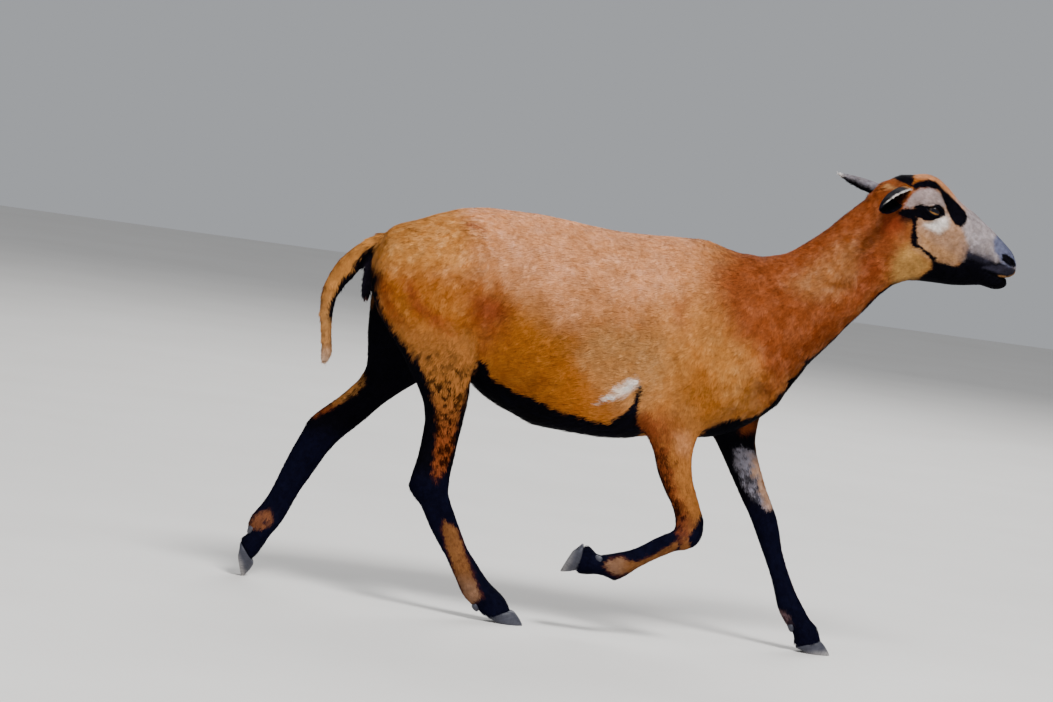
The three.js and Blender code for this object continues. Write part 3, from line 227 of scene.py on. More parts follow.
FOOT_SIDE = 64.0
HOOF_LENGTH, HOOF_HEIGHT, HEEL_HEIGHT = 54.0, 20.5, 7.0
CORONET_LENGTH, CLAW_WIDTH, CLEFT = 36.5, 19.0, 2.6
DEWCLAW_RADIUS, DEWCLAW_LENGTH, DEWCLAW_SPREAD = 5.0, 12.0, 9.5

# Each foot: the side it stands on, the heel's place on the sole and the sole's turn in degrees,
# then the same for its dewclaws.
FEET = {
    "right_hind": (-1, (-5.0, -3.0), 0.0, (-26.0, 20.0), -35.0),
    "left_hind": (1, (-391.4, 45.8), -74.3, (-370.0, 72.0), 30.0),
    "left_fore": (1, (458.0, -3.0), 0.0, (447.0, 37.0), -15.0),
    "right_fore": (-1, (115.7, 132.5), 244.5, (150.0, 108.0), 120.0),
}

# How pale the claws' horn is worn near the ground, and the raised foot's dewclaws.
HORN_PALE = {"right_hind": 0.05, "left_hind": 1.0, "left_fore": 0.85, "right_fore": 0.6}
DEWCLAW_PALE = 0.8

# Each ear is a leaf rolled into a trough: root and tip, the way its mouth faces, its breadth
# laid flat, and the half-angle of the roll at root and tip.
EARS = (
    ((514, -36, 702), (477, -113, 674), (0.88, -0.3, -0.33), 60, (2.1, 1.4)),
    ((508, 36, 696), (424, 83, 714), (0.1, 0.3, -0.94), 44, (2.4, 1.9)),
)
EAR_THICKNESS = 4.4
EAR_HAIR = np.array((3.8, 0.6, 3, 0.42))             # length, width, rise and density
EAR_HAIR_INSIDE = np.array((0, 0, 6, -0.2))          # what the inner side adds to them

# ---------------------------------------------------------------- smooth profiles

SAMPLES = 400
FAR = 1000.0                     # the field's value where a stack is out of reach


def smooth_table(xs, ys):
    """A monotone cubic through the points, read at SAMPLES + 1 even places."""
    slopes = np.diff(ys) / np.diff(xs)
    before, after = slopes[:-1], slopes[1:]
    agree = before * after > 0
    total = np.where(agree, before + after, 1.0)
    tangents = np.concatenate(
        [slopes[:1], np.where(agree, 2 * before * after / total, 0.0), slopes[-1:]]
    )
    s = np.linspace(xs[0], xs[-1], SAMPLES + 1)
    k = np.clip(np.searchsorted(xs, s, side="left") - 1, 0, len(xs) - 2)
    h = xs[k + 1] - xs[k]
    t = (s - xs[k]) / h
    t2, t3 = t * t, t * t * t
    rise = h * (tangents[k] * (t3 - 2 * t2 + t) + tangents[k + 1] * (t3 - t2))
    return ys[k] * (2 * t3 - 3 * t2 + 1) + ys[k + 1] * (3 * t2 - 2 * t3) + rise


class Stack:
    """A stack of oval sections as a signed distance field, negative inside."""

    REACH = 48.0
    MIDDLE = 0.5

    def __init__(self, ways, power, rows):
        rows = np.array([(*row, self.MIDDLE)[:6] for row in rows], dtype=float)
        (self.along, self.across), self.power = ways, power
        self.first, self.last = rows[0, 0], rows[-1, 0]
        low, high, side, half, widest = (
            smooth_table(rows[:, 0], column)
            for column in (rows[:, 1], rows[:, 2], rows[:, 3], rows[:, 4] ** 2, rows[:, 5])
        )
        middle = (low + high) / 2
        ahead = middle[np.minimum(np.arange(SAMPLES + 1) + 2, SAMPLES)]
        behind = middle[np.maximum(np.arange(SAMPLES + 1) - 2, 0)]
        lean = (ahead - behind) / (4 / SAMPLES * (self.last - self.first))
        centre = low + (high - low) * widest
        half = np.sqrt(np.maximum(half, 1.0))
        self.table = np.stack([low, high, side, half, centre, lean], axis=1)
        self.low_edge, self.high_edge = low.min() - self.REACH, high.max() + self.REACH
        self.side_low = (side - half).min() - self.REACH
        self.side_high = (side + half).max() + self.REACH

    def side_view(self, p):
        return (p[:, 0] * way[0] + p[:, 2] * way[1] for way in (self.along, self.across))

    def place(self, p):
        """Where points lie: along the stack, across it, and the section's values there."""
        s, u = self.side_view(p)
        t = np.clip((s - self.first) / (self.last - self.first), 0, 1) * SAMPLES
        i = np.minimum(t.astype(int), SAMPLES - 1)
        f = (t - i)[:, None]
        return s, u, self.table[i] * (1 - f) + self.table[i + 1] * f

    def __call__(self, p):
        """The distance at points, worked out only within reach of the stack."""
        s, u = self.side_view(p)
        near = (s > self.first - self.REACH) & (s < self.last + self.REACH)
        near &= (u > self.low_edge) & (u < self.high_edge)
        near &= (p[:, 1] > self.side_low) & (p[:, 1] < self.side_high)
        out = np.full(len(p), FAR)
        if near.any():
            out[near] = self.distance(p[near])
        return out

    def distance(self, p):
        s, u, section = self.place(p)
        low, high, side, half, centre, lean = section.T
        u, v = u - centre, p[:, 1] - side
        reach = np.where(u > 0, high - centre, centre - low)
        power = self.power
        k = ((np.abs(u) / reach) ** power + (np.abs(v) / half) ** power) ** (1 / power)
        radial = np.hypot(u, v)
        tiny = k < 1e-6
        inside = np.where(tiny, -np.minimum(reach, half), radial - radial / np.where(tiny, 1, k))
        ends = np.maximum(self.first - s, s - self.last)
        return np.maximum(inside / np.hypot(1, lean), ends)


def blend(a, b, radius):
    """The nearer of two fields, rounded where they meet."""
    h = np.maximum(radius - np.abs(a - b), 0) / radius
    return np.minimum(a, b) - h * h * radius / 4


def carve(a, b, radius):
    """Field a with field b taken out of it, rounded at the edge."""
    return -blend(-a, b, radius)


def share_across(u, section):
    """How far points are from a section's low edge to its high edge."""
    return (u - section[:, 0]) / (section[:, 1] - section[:, 0])


def onto_left(p):
    """Points, with those of the right side mirrored to the left."""
    left = p.copy()
    left[:, 1] = np.abs(p[:, 1])
    return left


def smoothstep(low, high, value):
    t = np.clip((value - low) / (high - low), 0, 1)
    return t * t * (3 - 2 * t)


def unit(v):
    v = np.asarray(v, dtype=float)
    return v / np.maximum(np.linalg.norm(v, axis=-1, keepdims=True), 1e-9)


def value_noise(p, size, seed):
    """Smooth noise from -1 to 1, with features about size millimetres across."""
    q = p / size + seed * 17.31
    cell = np.floor(q).astype(np.int64)
    f = q - cell
    f = f * f * (3 - 2 * f)
    total = np.zeros(len(p))
    for corner in np.ndindex(2, 2, 2):
        c = cell + corner
        n = c[:, 0] * 374761393 + c[:, 1] * 668265263 + c[:, 2] * 2147483647 + seed * 974634777
        n = (n ^ (n >> 13)) * 1274126177
        n = (n ^ (n >> 16)) & 0xFFFF
        weight = np.prod(np.where(corner, f, 1 - f), axis=1)
        total += weight * (n / 32767.5 - 1)
    return total


def double_noise(p, size, second_size, amount, seed):
    """Noise with features of two sizes, the second ones weaker."""
    return value_noise(p, size, seed) + amount * value_noise(p, second_size, seed + 1)


# ---------------------------------------------------------------- the body as one field


def hoof_axes(turn):
    """The sole's forwards and upwards directions in the side view."""
    a = math.radians(turn)
    return np.array([math.cos(a), math.sin(a)]), np.array([-math.sin(a), math.cos(a)])


def below_coronet(name):
    """How far points lie under the top of a foot's hoof."""
    _, heel, turn, _, _ = FEET[name]
    ahead, up = hoof_axes(turn)
    slope = math.hypot(CORONET_LENGTH, HOOF_HEIGHT - HEEL_HEIGHT)
    a, b = CORONET_LENGTH / slope, (HOOF_HEIGHT - HEEL_HEIGHT) / slope

    def depth(p):
        q = p[:, (0, 2)] - heel
        return b * (q @ ahead) - a * (q @ up - HEEL_HEIGHT)

    return depth


trunk_field, neck_field, head_field, tail_field = (
    Stack(*table) for table in (TRUNK, NECK, HEAD, TAIL)
)
leg_stacks = {
    "right_hind": (Stack(*RIGHT_HIND),),
    "left_hind": (Stack(*LEFT_HIND),),
    "left_fore": (Stack(*LEFT_FORE),),
    "right_fore": (Stack(*RIGHT_FORE), Stack(*FOLDED_CANNON)),
}
coronets = {name: below_coronet(name) for name in FEET}


def leg_field(name, p):
    """A leg down to just inside the top of its hoof."""
    stacks = leg_stacks[name]
    d = stacks[0](p)
    if len(stacks) > 1:
        d = blend(d, stacks[1](p), KNEE_BLEND)
    near = d < FAR / 2
    if near.any():
        d[near] = carve(d[near], 1.2 - coronets[name](p[near]), 2.0)
    return d


def ellipsoid(p, at, size):
    a = (p - at) / size
    k = np.linalg.norm(a, axis=1)
    g = np.linalg.norm(a / size, axis=1)
    return k * (k - 1) / np.maximum(g, 1e-9)


def flap_amount(p):
    """1 on the bare vulva, 0 off it."""
    return (p[:, 0] < -236) * smoothstep(5, 1, ellipsoid(p, FLAP_AT, FLAP_SIZE))


def form_rise(p):
    rise = np.zeros(len(p))
    for at, size, height, side in FORMS:
        near = np.nonzero(np.abs(p[:, 0] - at[0]) < 3 * size[0])[0]
        q = p[near]
        dy = np.abs(q[:, 1]) - at[1] if side else q[:, 1] - at[1]
        r = ((q[:, 0] - at[0]) / size[0]) ** 2 + (dy / size[1]) ** 2
        r += ((q[:, 2] - at[2]) / size[2]) ** 2
        rise[near] += height * np.exp(-r)
    return rise


def body_field(p):
    d = blend(trunk_field(p), neck_field(p), NECK_BLEND)
    skull = blend(head_field(p), ellipsoid(p, CHIN_AT, CHIN_SIZE), CHIN_BLEND)
    d = blend(d, skull, HEAD_BLEND)
    for name in FEET:
        d = blend(d, leg_field(name, p), LEG_BLEND)
    d = blend(d, tail_field(p), TAIL_BLEND)
    d = blend(d, ellipsoid(p, FLAP_AT, FLAP_SIZE), CHIN_BLEND)
    return d - form_rise(p)


# ---------------------------------------------------------------- the skin of the head


def eye_frame(side):
    """The eye's middle and its ahead, forwards and upwards directions."""
    ahead = unit(np.array(EYE_AHEAD) * (1, side, 1))
    forwards = unit(np.array([1.0, 0, 0]) - ahead[0] * ahead)
    up = np.cross(forwards, ahead) * side
    a = math.radians(LID_TILT)
    return (np.array(EYE_AT) * (1, side, 1), ahead,
            forwards * math.cos(a) + up * math.sin(a), up * math.cos(a) - forwards * math.sin(a))


def eye_place(p, side):
    """Points in an eye's frame: ahead, forwards and upwards of its middle."""
    middle, ahead, forwards, up = eye_frame(side)
    q = p - middle
    return q @ ahead, q @ forwards, q @ up


def lid_opening(forwards, up):
    """The almond between the lids, negative inside."""
    bow = 1 - (forwards / LID_HALF_LENGTH) ** 2
    return np.maximum(up - LID_TOP * bow, -LID_BOTTOM * bow - up) * 0.75


def capsule(p, a, b, radius):
    a, b = np.array(a, dtype=float), np.array(b, dtype=float)
    t = np.clip((p - a) @ (b - a) / ((b - a) @ (b - a)), 0, 1)
    return np.linalg.norm(p - a - t[:, None] * (b - a), axis=1) - radius


def groove(distance, width):
    return np.exp(-((distance / width) ** 2))


def nostril_distance(p):
    """How far points are from the middle line of the left nostril's slit."""
    return np.minimum.reduce([capsule(p, a, b, 0) for a, b in zip(NOSTRIL, NOSTRIL[1:])])


def mouth_height(x):
    return np.interp(x, MOUTH_LINE[0], MOUTH_LINE[1])


def head_skin(p, d):
    """Adds lids, nostrils, lips and the roots of the ears to the field of the head."""
    mirrored = onto_left(p)
    near_eye = np.linalg.norm(mirrored - EYE_AT, axis=1) < LIDS_REACH
    if near_eye.any():
        q = mirrored[near_eye]
        ahead, forwards, up = eye_place(q, 1)
        ball = np.linalg.norm(q - EYE_AT, axis=1)
        e = blend(d[near_eye], ball - EYE_RADIUS - LID_THICKNESS, 5.0)
        bow = 1 - 0.6 * (forwards / LID_HALF_LENGTH) ** 2
        front = (ahead > 0) * smoothstep(LID_HALF_LENGTH * 1.5, LID_HALF_LENGTH * 0.9,
                                         np.abs(forwards))
        e += front * 1.1 * groove(up - LID_TOP * bow - 4.6, 1.4)
        e += front * 0.7 * groove(up + LID_BOTTOM * bow + 4.2, 1.3)
        e -= front * 0.5 * groove(up - LID_TOP * bow - 1.9, 1.3)
        opening = np.maximum(lid_opening(forwards, up), EYE_RADIUS - 1.0 - ball)
        opening = np.maximum(opening, -ahead)
        e = carve(e, opening, 1.3)
        tear = capsule(q, *TEAR_DUCT, 0.9)
        d[near_eye] = carve(e, tear, 1.2)
    muzzle = p[:, 0] > MUZZLE_FROM
    if muzzle.any():
        q = mirrored[muzzle]
        e = d[muzzle]
        e -= 1.5 * np.exp(-(((q - (676, 24, 631)) / (9, 7, 5)) ** 2).sum(axis=1))
        e = carve(e, nostril_distance(q) - 2.3, 2.0)
        e += 1.1 * groove(q[:, 1], 1.1) * smoothstep(684, 692, q[:, 0]) * (q[:, 2] > 596)
        over_mouth = q[:, 2] - mouth_height(q[:, 0])
        e += 2.0 * smoothstep(648, 662, q[:, 0]) * groove(over_mouth, 1.25)
        e -= 0.8 * groove(over_mouth - 4.5, 2.6) * smoothstep(660, 670, q[:, 0])
        d[muzzle] = e
    ears = (p[:, 0] > 490) & (p[:, 0] < 535) & (p[:, 2] > 670)
    if ears.any():
        q = p[ears]
        e = d[ears]
        for root, tip, _, _, _ in EARS:
            way = unit(np.array(tip) - root)
            e = blend(e, capsule(q, root - 4 * way, root + 7 * way, 9.0), 12.0)
            hollow = capsule(q, root + 8 * way, root + 22 * way, 7.0)
            e = carve(e, hollow, 2.0)
        d[ears] = e
    return d


def coat_depth(p):
    """How far the skin lies under the outline of the coat."""
    body = smoothstep(160, 330, p[:, 2]) * smoothstep(520, 440, p[:, 0])
    bare = smoothstep(-242, -254, p[:, 0]) * smoothstep(28, 20, np.abs(p[:, 1]))
    return (1.4 + 1.8 * body) * (1 - 0.7 * bare)


def skin_field(p):
    d = body_field(p) + coat_depth(p)
    head = p[:, 0] > 470
    if head.any():
        d[head] = head_skin(p[head], d[head])
    return d


# ---------------------------------------------------------------- a net over a field


def stepped(*stretches):
    """Grid lines through stretches of (start, end, step)."""
    lines = [np.linspace(a, b, max(round((b - a) / step), 1), endpoint=False)
             for a, b, step in stretches]
    return np.concatenate(lines + [np.array([stretches[-1][1]])])


def cell_corners(grid):
    """A grid's values at the eight corners of its cells."""
    x, y, z = np.array(grid.shape) - 1
    return [grid[i:i + x, j:j + y, k:k + z] for i, j, k in np.ndindex(2, 2, 2)]


def grid_values(field, lines, stride):
    """The field on a grid, worked out only near its zero surface."""
    picks = [np.unique(np.append(np.arange(0, len(v), stride), len(v) - 1)) for v in lines]
    coarse_lines = [v[k] for v, k in zip(lines, picks)]
    corners = np.stack(np.meshgrid(*coarse_lines, indexing="ij"), axis=-1)
    coarse = field(corners.reshape(-1, 3)).reshape(corners.shape[:3])
    sizes = np.meshgrid(*(np.diff(v) for v in coarse_lines), indexing="ij")
    diagonal = np.sqrt(sum(s * s for s in sizes))
    nearest = np.minimum.reduce(cell_corners(np.abs(coarse)))
    active = nearest < 0.75 * diagonal + 4
    blocks, before = ([np.clip(np.searchsorted(p, np.arange(len(v)), side=side) - 1, 0, len(p) - 2)
                       for p, v in zip(picks, lines)] for side in ("right", "left"))
    values = coarse[np.ix_(*blocks)].astype(float)
    wanted = np.zeros(values.shape, dtype=bool)
    for choice in np.ndindex(2, 2, 2):
        wanted |= active[np.ix_(*((blocks, before)[c][d] for d, c in enumerate(choice)))]
    index = np.nonzero(wanted)
    points = np.stack([v[i] for v, i in zip(lines, index)], axis=1)
    values[index] = field(points)
    return values


def gradient(field, p, h=0.6):
    steps = np.eye(3) * h
    return np.stack([field(p + s) - field(p - s) for s in steps], axis=1) / (2 * h)


def surface_net(field, lines, stride=4):
    """Quads over the zero surface of a field, on a grid of uneven steps."""
    values = grid_values(field, lines, stride)
    inside = values < 0
    corners = cell_corners(inside)
    crossing = np.logical_or.reduce(corners) & ~np.logical_and.reduce(corners)
    cells = np.argwhere(crossing)
    index = np.full(crossing.shape, -1)
    index[tuple(cells.T)] = np.arange(len(cells))
    total, count = np.zeros((len(cells), 3)), np.zeros(len(cells))

    def place(corner):
        return np.stack([line[i] for line, i in zip(lines, corner.T)], axis=1)

    for axis in range(3):
        step = np.eye(3, dtype=int)[axis]
        for offset in np.ndindex(2, 2, 2):
            if offset[axis]:
                continue
            a, b = cells + offset, cells + offset + step
            fa, fb = values[tuple(a.T)], values[tuple(b.T)]
            crossed = (fa < 0) != (fb < 0)
            t = np.where(crossed, fa / np.where(crossed, fa - fb, 1), 0)[:, None]
            total += np.where(crossed[:, None], place(a) * (1 - t) + place(b) * t, 0)
            count += crossed
    points = total / count[:, None]
    limit = 0.4 * np.min(place(cells + 1) - place(cells), axis=1)
    for _ in range(3):
        f, g = field(points), gradient(field, points)
        g2 = np.maximum((g * g).sum(axis=1), 0.2)
        points -= g * np.clip(f / g2, -limit, limit)[:, None]
    quads = []
    for axis in range(3):
        p, q = (axis + 1) % 3, (axis + 2) % 3
        turned = np.moveaxis(inside, (axis, p, q), (0, 1, 2))
        owner = np.moveaxis(index, (axis, p, q), (0, 1, 2))
        here, there = turned[:-1, 1:-1, 1:-1], turned[1:, 1:-1, 1:-1]
        i, j, k = np.nonzero(here != there)
        ring = np.stack([owner[i, j, k], owner[i, j + 1, k],
                         owner[i, j + 1, k + 1], owner[i, j, k + 1]], axis=1)
        out = here[i, j, k]
        quads.append(np.where(out[:, None], ring, ring[:, ::-1]))
    return points, np.concatenate(quads)


# ---------------------------------------------------------------- meshes


def to_row(p):
    """Section frame in millimetres to the row's frame in metres."""
    return (np.asarray(p, dtype=float) - (MID_X, 0, GROUND)) * MM


def placed(name, data):
    """A new object in the scene with the mesh, light or camera given."""
    made = bpy.data.objects.new(name, data)
    bpy.context.scene.collection.objects.link(made)
    return made


def mesh_object(name, points, faces):
    """An object in the row's frame from points in the section frame and lists of faces."""
    mesh = bpy.data.meshes.new(name)
    mesh.from_pydata(to_row(points).tolist(), [], faces)
    mesh.polygons.foreach_set("use_smooth", np.ones(len(mesh.polygons), dtype=bool))
    mesh.update()
    return placed(name, mesh)


def set_attributes(mesh, **lists):
    """Stores numbers, vectors and the colour called Markings on a mesh's points."""
    for name, values in lists.items():
        values = np.asarray(values)
        kind, field = "FLOAT", "value"
        if name == "Markings":
            kind, field = "FLOAT_COLOR", "color"
            values = np.concatenate([values, np.ones((len(values), 1))], axis=1)
        elif values.ndim > 1:
            kind, field = "FLOAT_VECTOR", "vector"
        mesh.attributes.new(name, kind, "POINT").data.foreach_set(field, values.ravel())


def stack_faces(rings, around, folded):
    """Faces over rings of points, numbered ring by ring, and over the first and the last ring.

    Each of these two is one face, or where the rings are folded flat, quads across the fold.
    """
    r = np.arange(rings - 1)[:, None] * around
    i = np.arange(around)[None, :]
    j = (i + 1) % around
    quads = np.stack([r + i, r + j, r + j + around, r + i + around], axis=-1)
    faces = quads.reshape(-1, 4).tolist()
    last = (rings - 1) * around
    if not folded:
        return faces + [list(range(around))[::-1], [last + i for i in range(around)]]
    for i in range(around // 2 - 1):
        j = around - 1 - i
        faces += [[i, j, j - 1, i + 1], [last + i, last + i + 1, last + j - 1, last + j]]
    return faces


def outward(points, faces):
    """The faces, turned round if the closed shape they make is inside out."""
    volume = 0.0
    for face in faces:
        a = points[face[0]]
        for b, c in zip(face[1:-1], face[2:]):
            volume += np.dot(a, np.cross(points[b], points[c]))
    return faces if volume > 0 else [list(face)[::-1] for face in faces]


# ---------------------------------------------------------------- ears, hooves, dewclaws, eyes

EAR_RINGS, EAR_POINTS = 44, 26


def ear_shape(ear):
    """An ear's points, faces, the lie of its hair and how far across and along each point is."""
    root, tip, mouth, width, roll = ear
    root = np.array(root, dtype=float)
    length = np.linalg.norm(np.array(tip) - root)
    axis = (np.array(tip) - root) / length
    facing = unit(np.array(mouth) - np.dot(mouth, axis) * axis)
    across = np.cross(axis, facing)
    rings, marks = [], []
    for r in range(EAR_RINGS):
        t = r / (EAR_RINGS - 1)
        half = roll[0] + (roll[1] - roll[0]) * t ** 0.8
        swell = max(math.sin(math.pi * (0.24 + 0.76 * t) ** 0.95), 0.0)
        radius = (1.0 + (width / 2 - 0.8) * swell ** 0.7) / half
        centre = root + axis * (length * t - 1.2 * t)
        ring, mark = [], []
        for face, order in ((0, 1), (1, -1)):
            for f in np.linspace(-1, 1, EAR_POINTS)[::order]:
                thick = (EAR_THICKNESS - 1.8) * (1 - 0.5 * f * f) * (1 - 0.55 * t)
                depth = 0.9 * (1 - abs(f) ** 6) + thick * face
                reach = radius - depth
                a = f * half
                ring.append(centre + across * reach * math.sin(a)
                            + facing * (0.35 * radius - reach * math.cos(a)))
                mark.append((f, t, face))
        rings.append(ring)
        marks.append(mark)
    points = np.array(rings).reshape(-1, 3)
    marks = np.array(marks).reshape(-1, 3)
    faces = outward(points, stack_faces(EAR_RINGS, 2 * EAR_POINTS, True))
    return points, np.array(faces), np.tile(axis, (len(points), 1)), marks


def claw_shape(name, outwards):
    """One claw of a hoof, from its sole to just under the hair."""
    side, heel, turn, _, _ = FEET[name]
    ahead, up = hoof_axes(turn)
    steps = 22                       # points along each side of a ring
    levels = (0.0, 0.03, 0.1, 0.2, 0.35, 0.5, 0.65, 0.8, 0.92, 1.0, 1.05)
    rings = []
    for h in levels:
        length = HOOF_LENGTH + (CORONET_LENGTH - HOOF_LENGTH) * h + 0.5 * math.sin(math.pi * h)
        start = 1.5 + 11 * max(1 - h, 0) ** 3   # the heel is cut away towards the ground
        width = CLAW_WIDTH * (1 - 0.06 * h) + 0.35 * math.sin(math.pi * min(h, 1))
        tuck = 0.5 * (1 - smoothstep(0, 0.06, h)) + 1.4 * smoothstep(0.96, 1.05, h)
        outer, inner = [], []        # the wall, and the flat side along the cleft
        for i in range(steps):
            a = math.pi * (i + 0.5) / steps
            x = start + (length - start) * (1 - math.cos(a)) / 2
            y = CLEFT / 2 + width * math.sin(a) ** 0.7 * (1 - 0.3 * x / HOOF_LENGTH)
            y -= 1.1 * smoothstep(0.55, 1.0, x / length) * (1 - h)
            x += tuck * (1 if a < math.pi / 2 else -1) * abs(math.cos(a))
            y = max(y - tuck, CLEFT / 2 + 0.4)
            # the coronet slopes from the toe to the heel, and the heel's edge is lifted
            top = HEEL_HEIGHT + (HOOF_HEIGHT - HEEL_HEIGHT) * x / CORONET_LENGTH
            z = h * top - 0.3 * min(h, 1)
            z += 3.5 * max(1 - h, 0) ** 2 * smoothstep(start + 10, start, x) ** 2
            outer.append((x, outwards * y, z))
            inner.append((x, outwards * (CLEFT / 2 + 0.25 * tuck), z))
        rings.append(outer + inner[::-1])
    local = np.array(rings).reshape(-1, 3)
    points = np.empty_like(local)
    points[:, (0, 2)] = heel + local[:, :1] * ahead + local[:, 2:] * up
    points[:, 1] = side * FOOT_SIDE + local[:, 1]
    points[:, 2] = np.maximum(points[:, 2], GROUND)
    local = np.column_stack([local, np.full(len(local), HORN_PALE[name])])
    return points, outward(points, stack_faces(len(levels), 2 * steps, True)), local


def dewclaw_shape(name, outwards):
    """A blunt little cone of horn behind the pastern."""
    side, _, _, at, turn = FEET[name]
    profile = ((0.0, 0.02), (0.8, 0.0), (0.97, 0.12), (1.0, 0.3), (0.95, 0.48), (0.83, 0.66),
               (0.66, 0.81), (0.46, 0.92), (0.22, 0.985), (0.02, 1.0))
    around = 20
    a = np.arange(around) * math.tau / around
    local = np.concatenate([
        np.stack([r * DEWCLAW_RADIUS * np.cos(a), r * DEWCLAW_RADIUS * np.sin(a),
                  np.full(around, -h * DEWCLAW_LENGTH)], axis=1) for r, h in profile])
    t = math.radians(turn)
    x = local[:, 0] * math.cos(t) + local[:, 2] * math.sin(t)
    z = -local[:, 0] * math.sin(t) + local[:, 2] * math.cos(t)
    points = np.stack([at[0] + x, side * FOOT_SIDE + outwards * DEWCLAW_SPREAD + local[:, 1],
                       at[1] + z], axis=1)
    local = np.column_stack([local, np.full(len(local), DEWCLAW_PALE * (name == "left_hind"))])
    return points, outward(points, stack_faces(len(profile), around, False)), local


def ball_shape(side):
    """An eyeball with a slightly raised front, and where each point lies on its front."""
    middle, ahead, forwards, up = eye_frame(side)
    rings, around = 40, 48
    a = np.linspace(0.004, math.pi - 0.004, rings)
    b = np.arange(around) * math.tau / around
    radius = EYE_RADIUS - 0.2 + 0.7 * np.exp(-((a / 0.6) ** 2))
    out = np.repeat(radius * np.sin(a), around)
    local = np.stack([np.repeat(radius * np.cos(a), around), out * np.tile(np.cos(b), rings),
                      out * np.tile(np.sin(b), rings)], axis=1)
    points = middle + local[:, :1] * ahead + local[:, 1:2] * forwards + local[:, 2:] * up
    return points, outward(points, stack_faces(rings, around, False)), local


def joined(shapes):
    """Several (points, faces, values) shapes as one."""
    points, faces, values, start = [], [], [], 0
    for shape in shapes:
        points.append(shape[0])
        faces += [[start + i for i in face] for face in shape[1]]
        values.append(shape[2])
        start += len(shape[0])
    return np.concatenate(points), faces, np.concatenate(values)


# ---------------------------------------------------------------- markings of skin and coat

COLOURS = {
    "chestnut": (0.355, 0.131, 0.031),
    # pale pinkish tan: partly the coat's own paler hair, partly a painted sheen where light falls
    # on the coat
    "tan_and_sheen": (0.625, 0.276, 0.128),
    "gold": (0.465, 0.191, 0.046),
    "orange": (0.34, 0.104, 0.014),
    "russet": (0.195, 0.028, 0.009),
    "umber": (0.23, 0.054, 0.015),
    "tan": (0.425, 0.21, 0.078),
    "straw": (0.52, 0.27, 0.078),
    "pink_tan": (0.42, 0.240, 0.145),
    "beige": (0.34, 0.268, 0.260),
    "grey": (0.34, 0.292, 0.300),
    "steel": (0.125, 0.135, 0.215),
    "slate": (0.045, 0.042, 0.066),
    "ash": (0.29, 0.265, 0.285),
    # black, with a faint blue tint as a painted sky sheen
    "black": (0.0028, 0.0026, 0.0048),
    "white": (0.80, 0.74, 0.70),
}

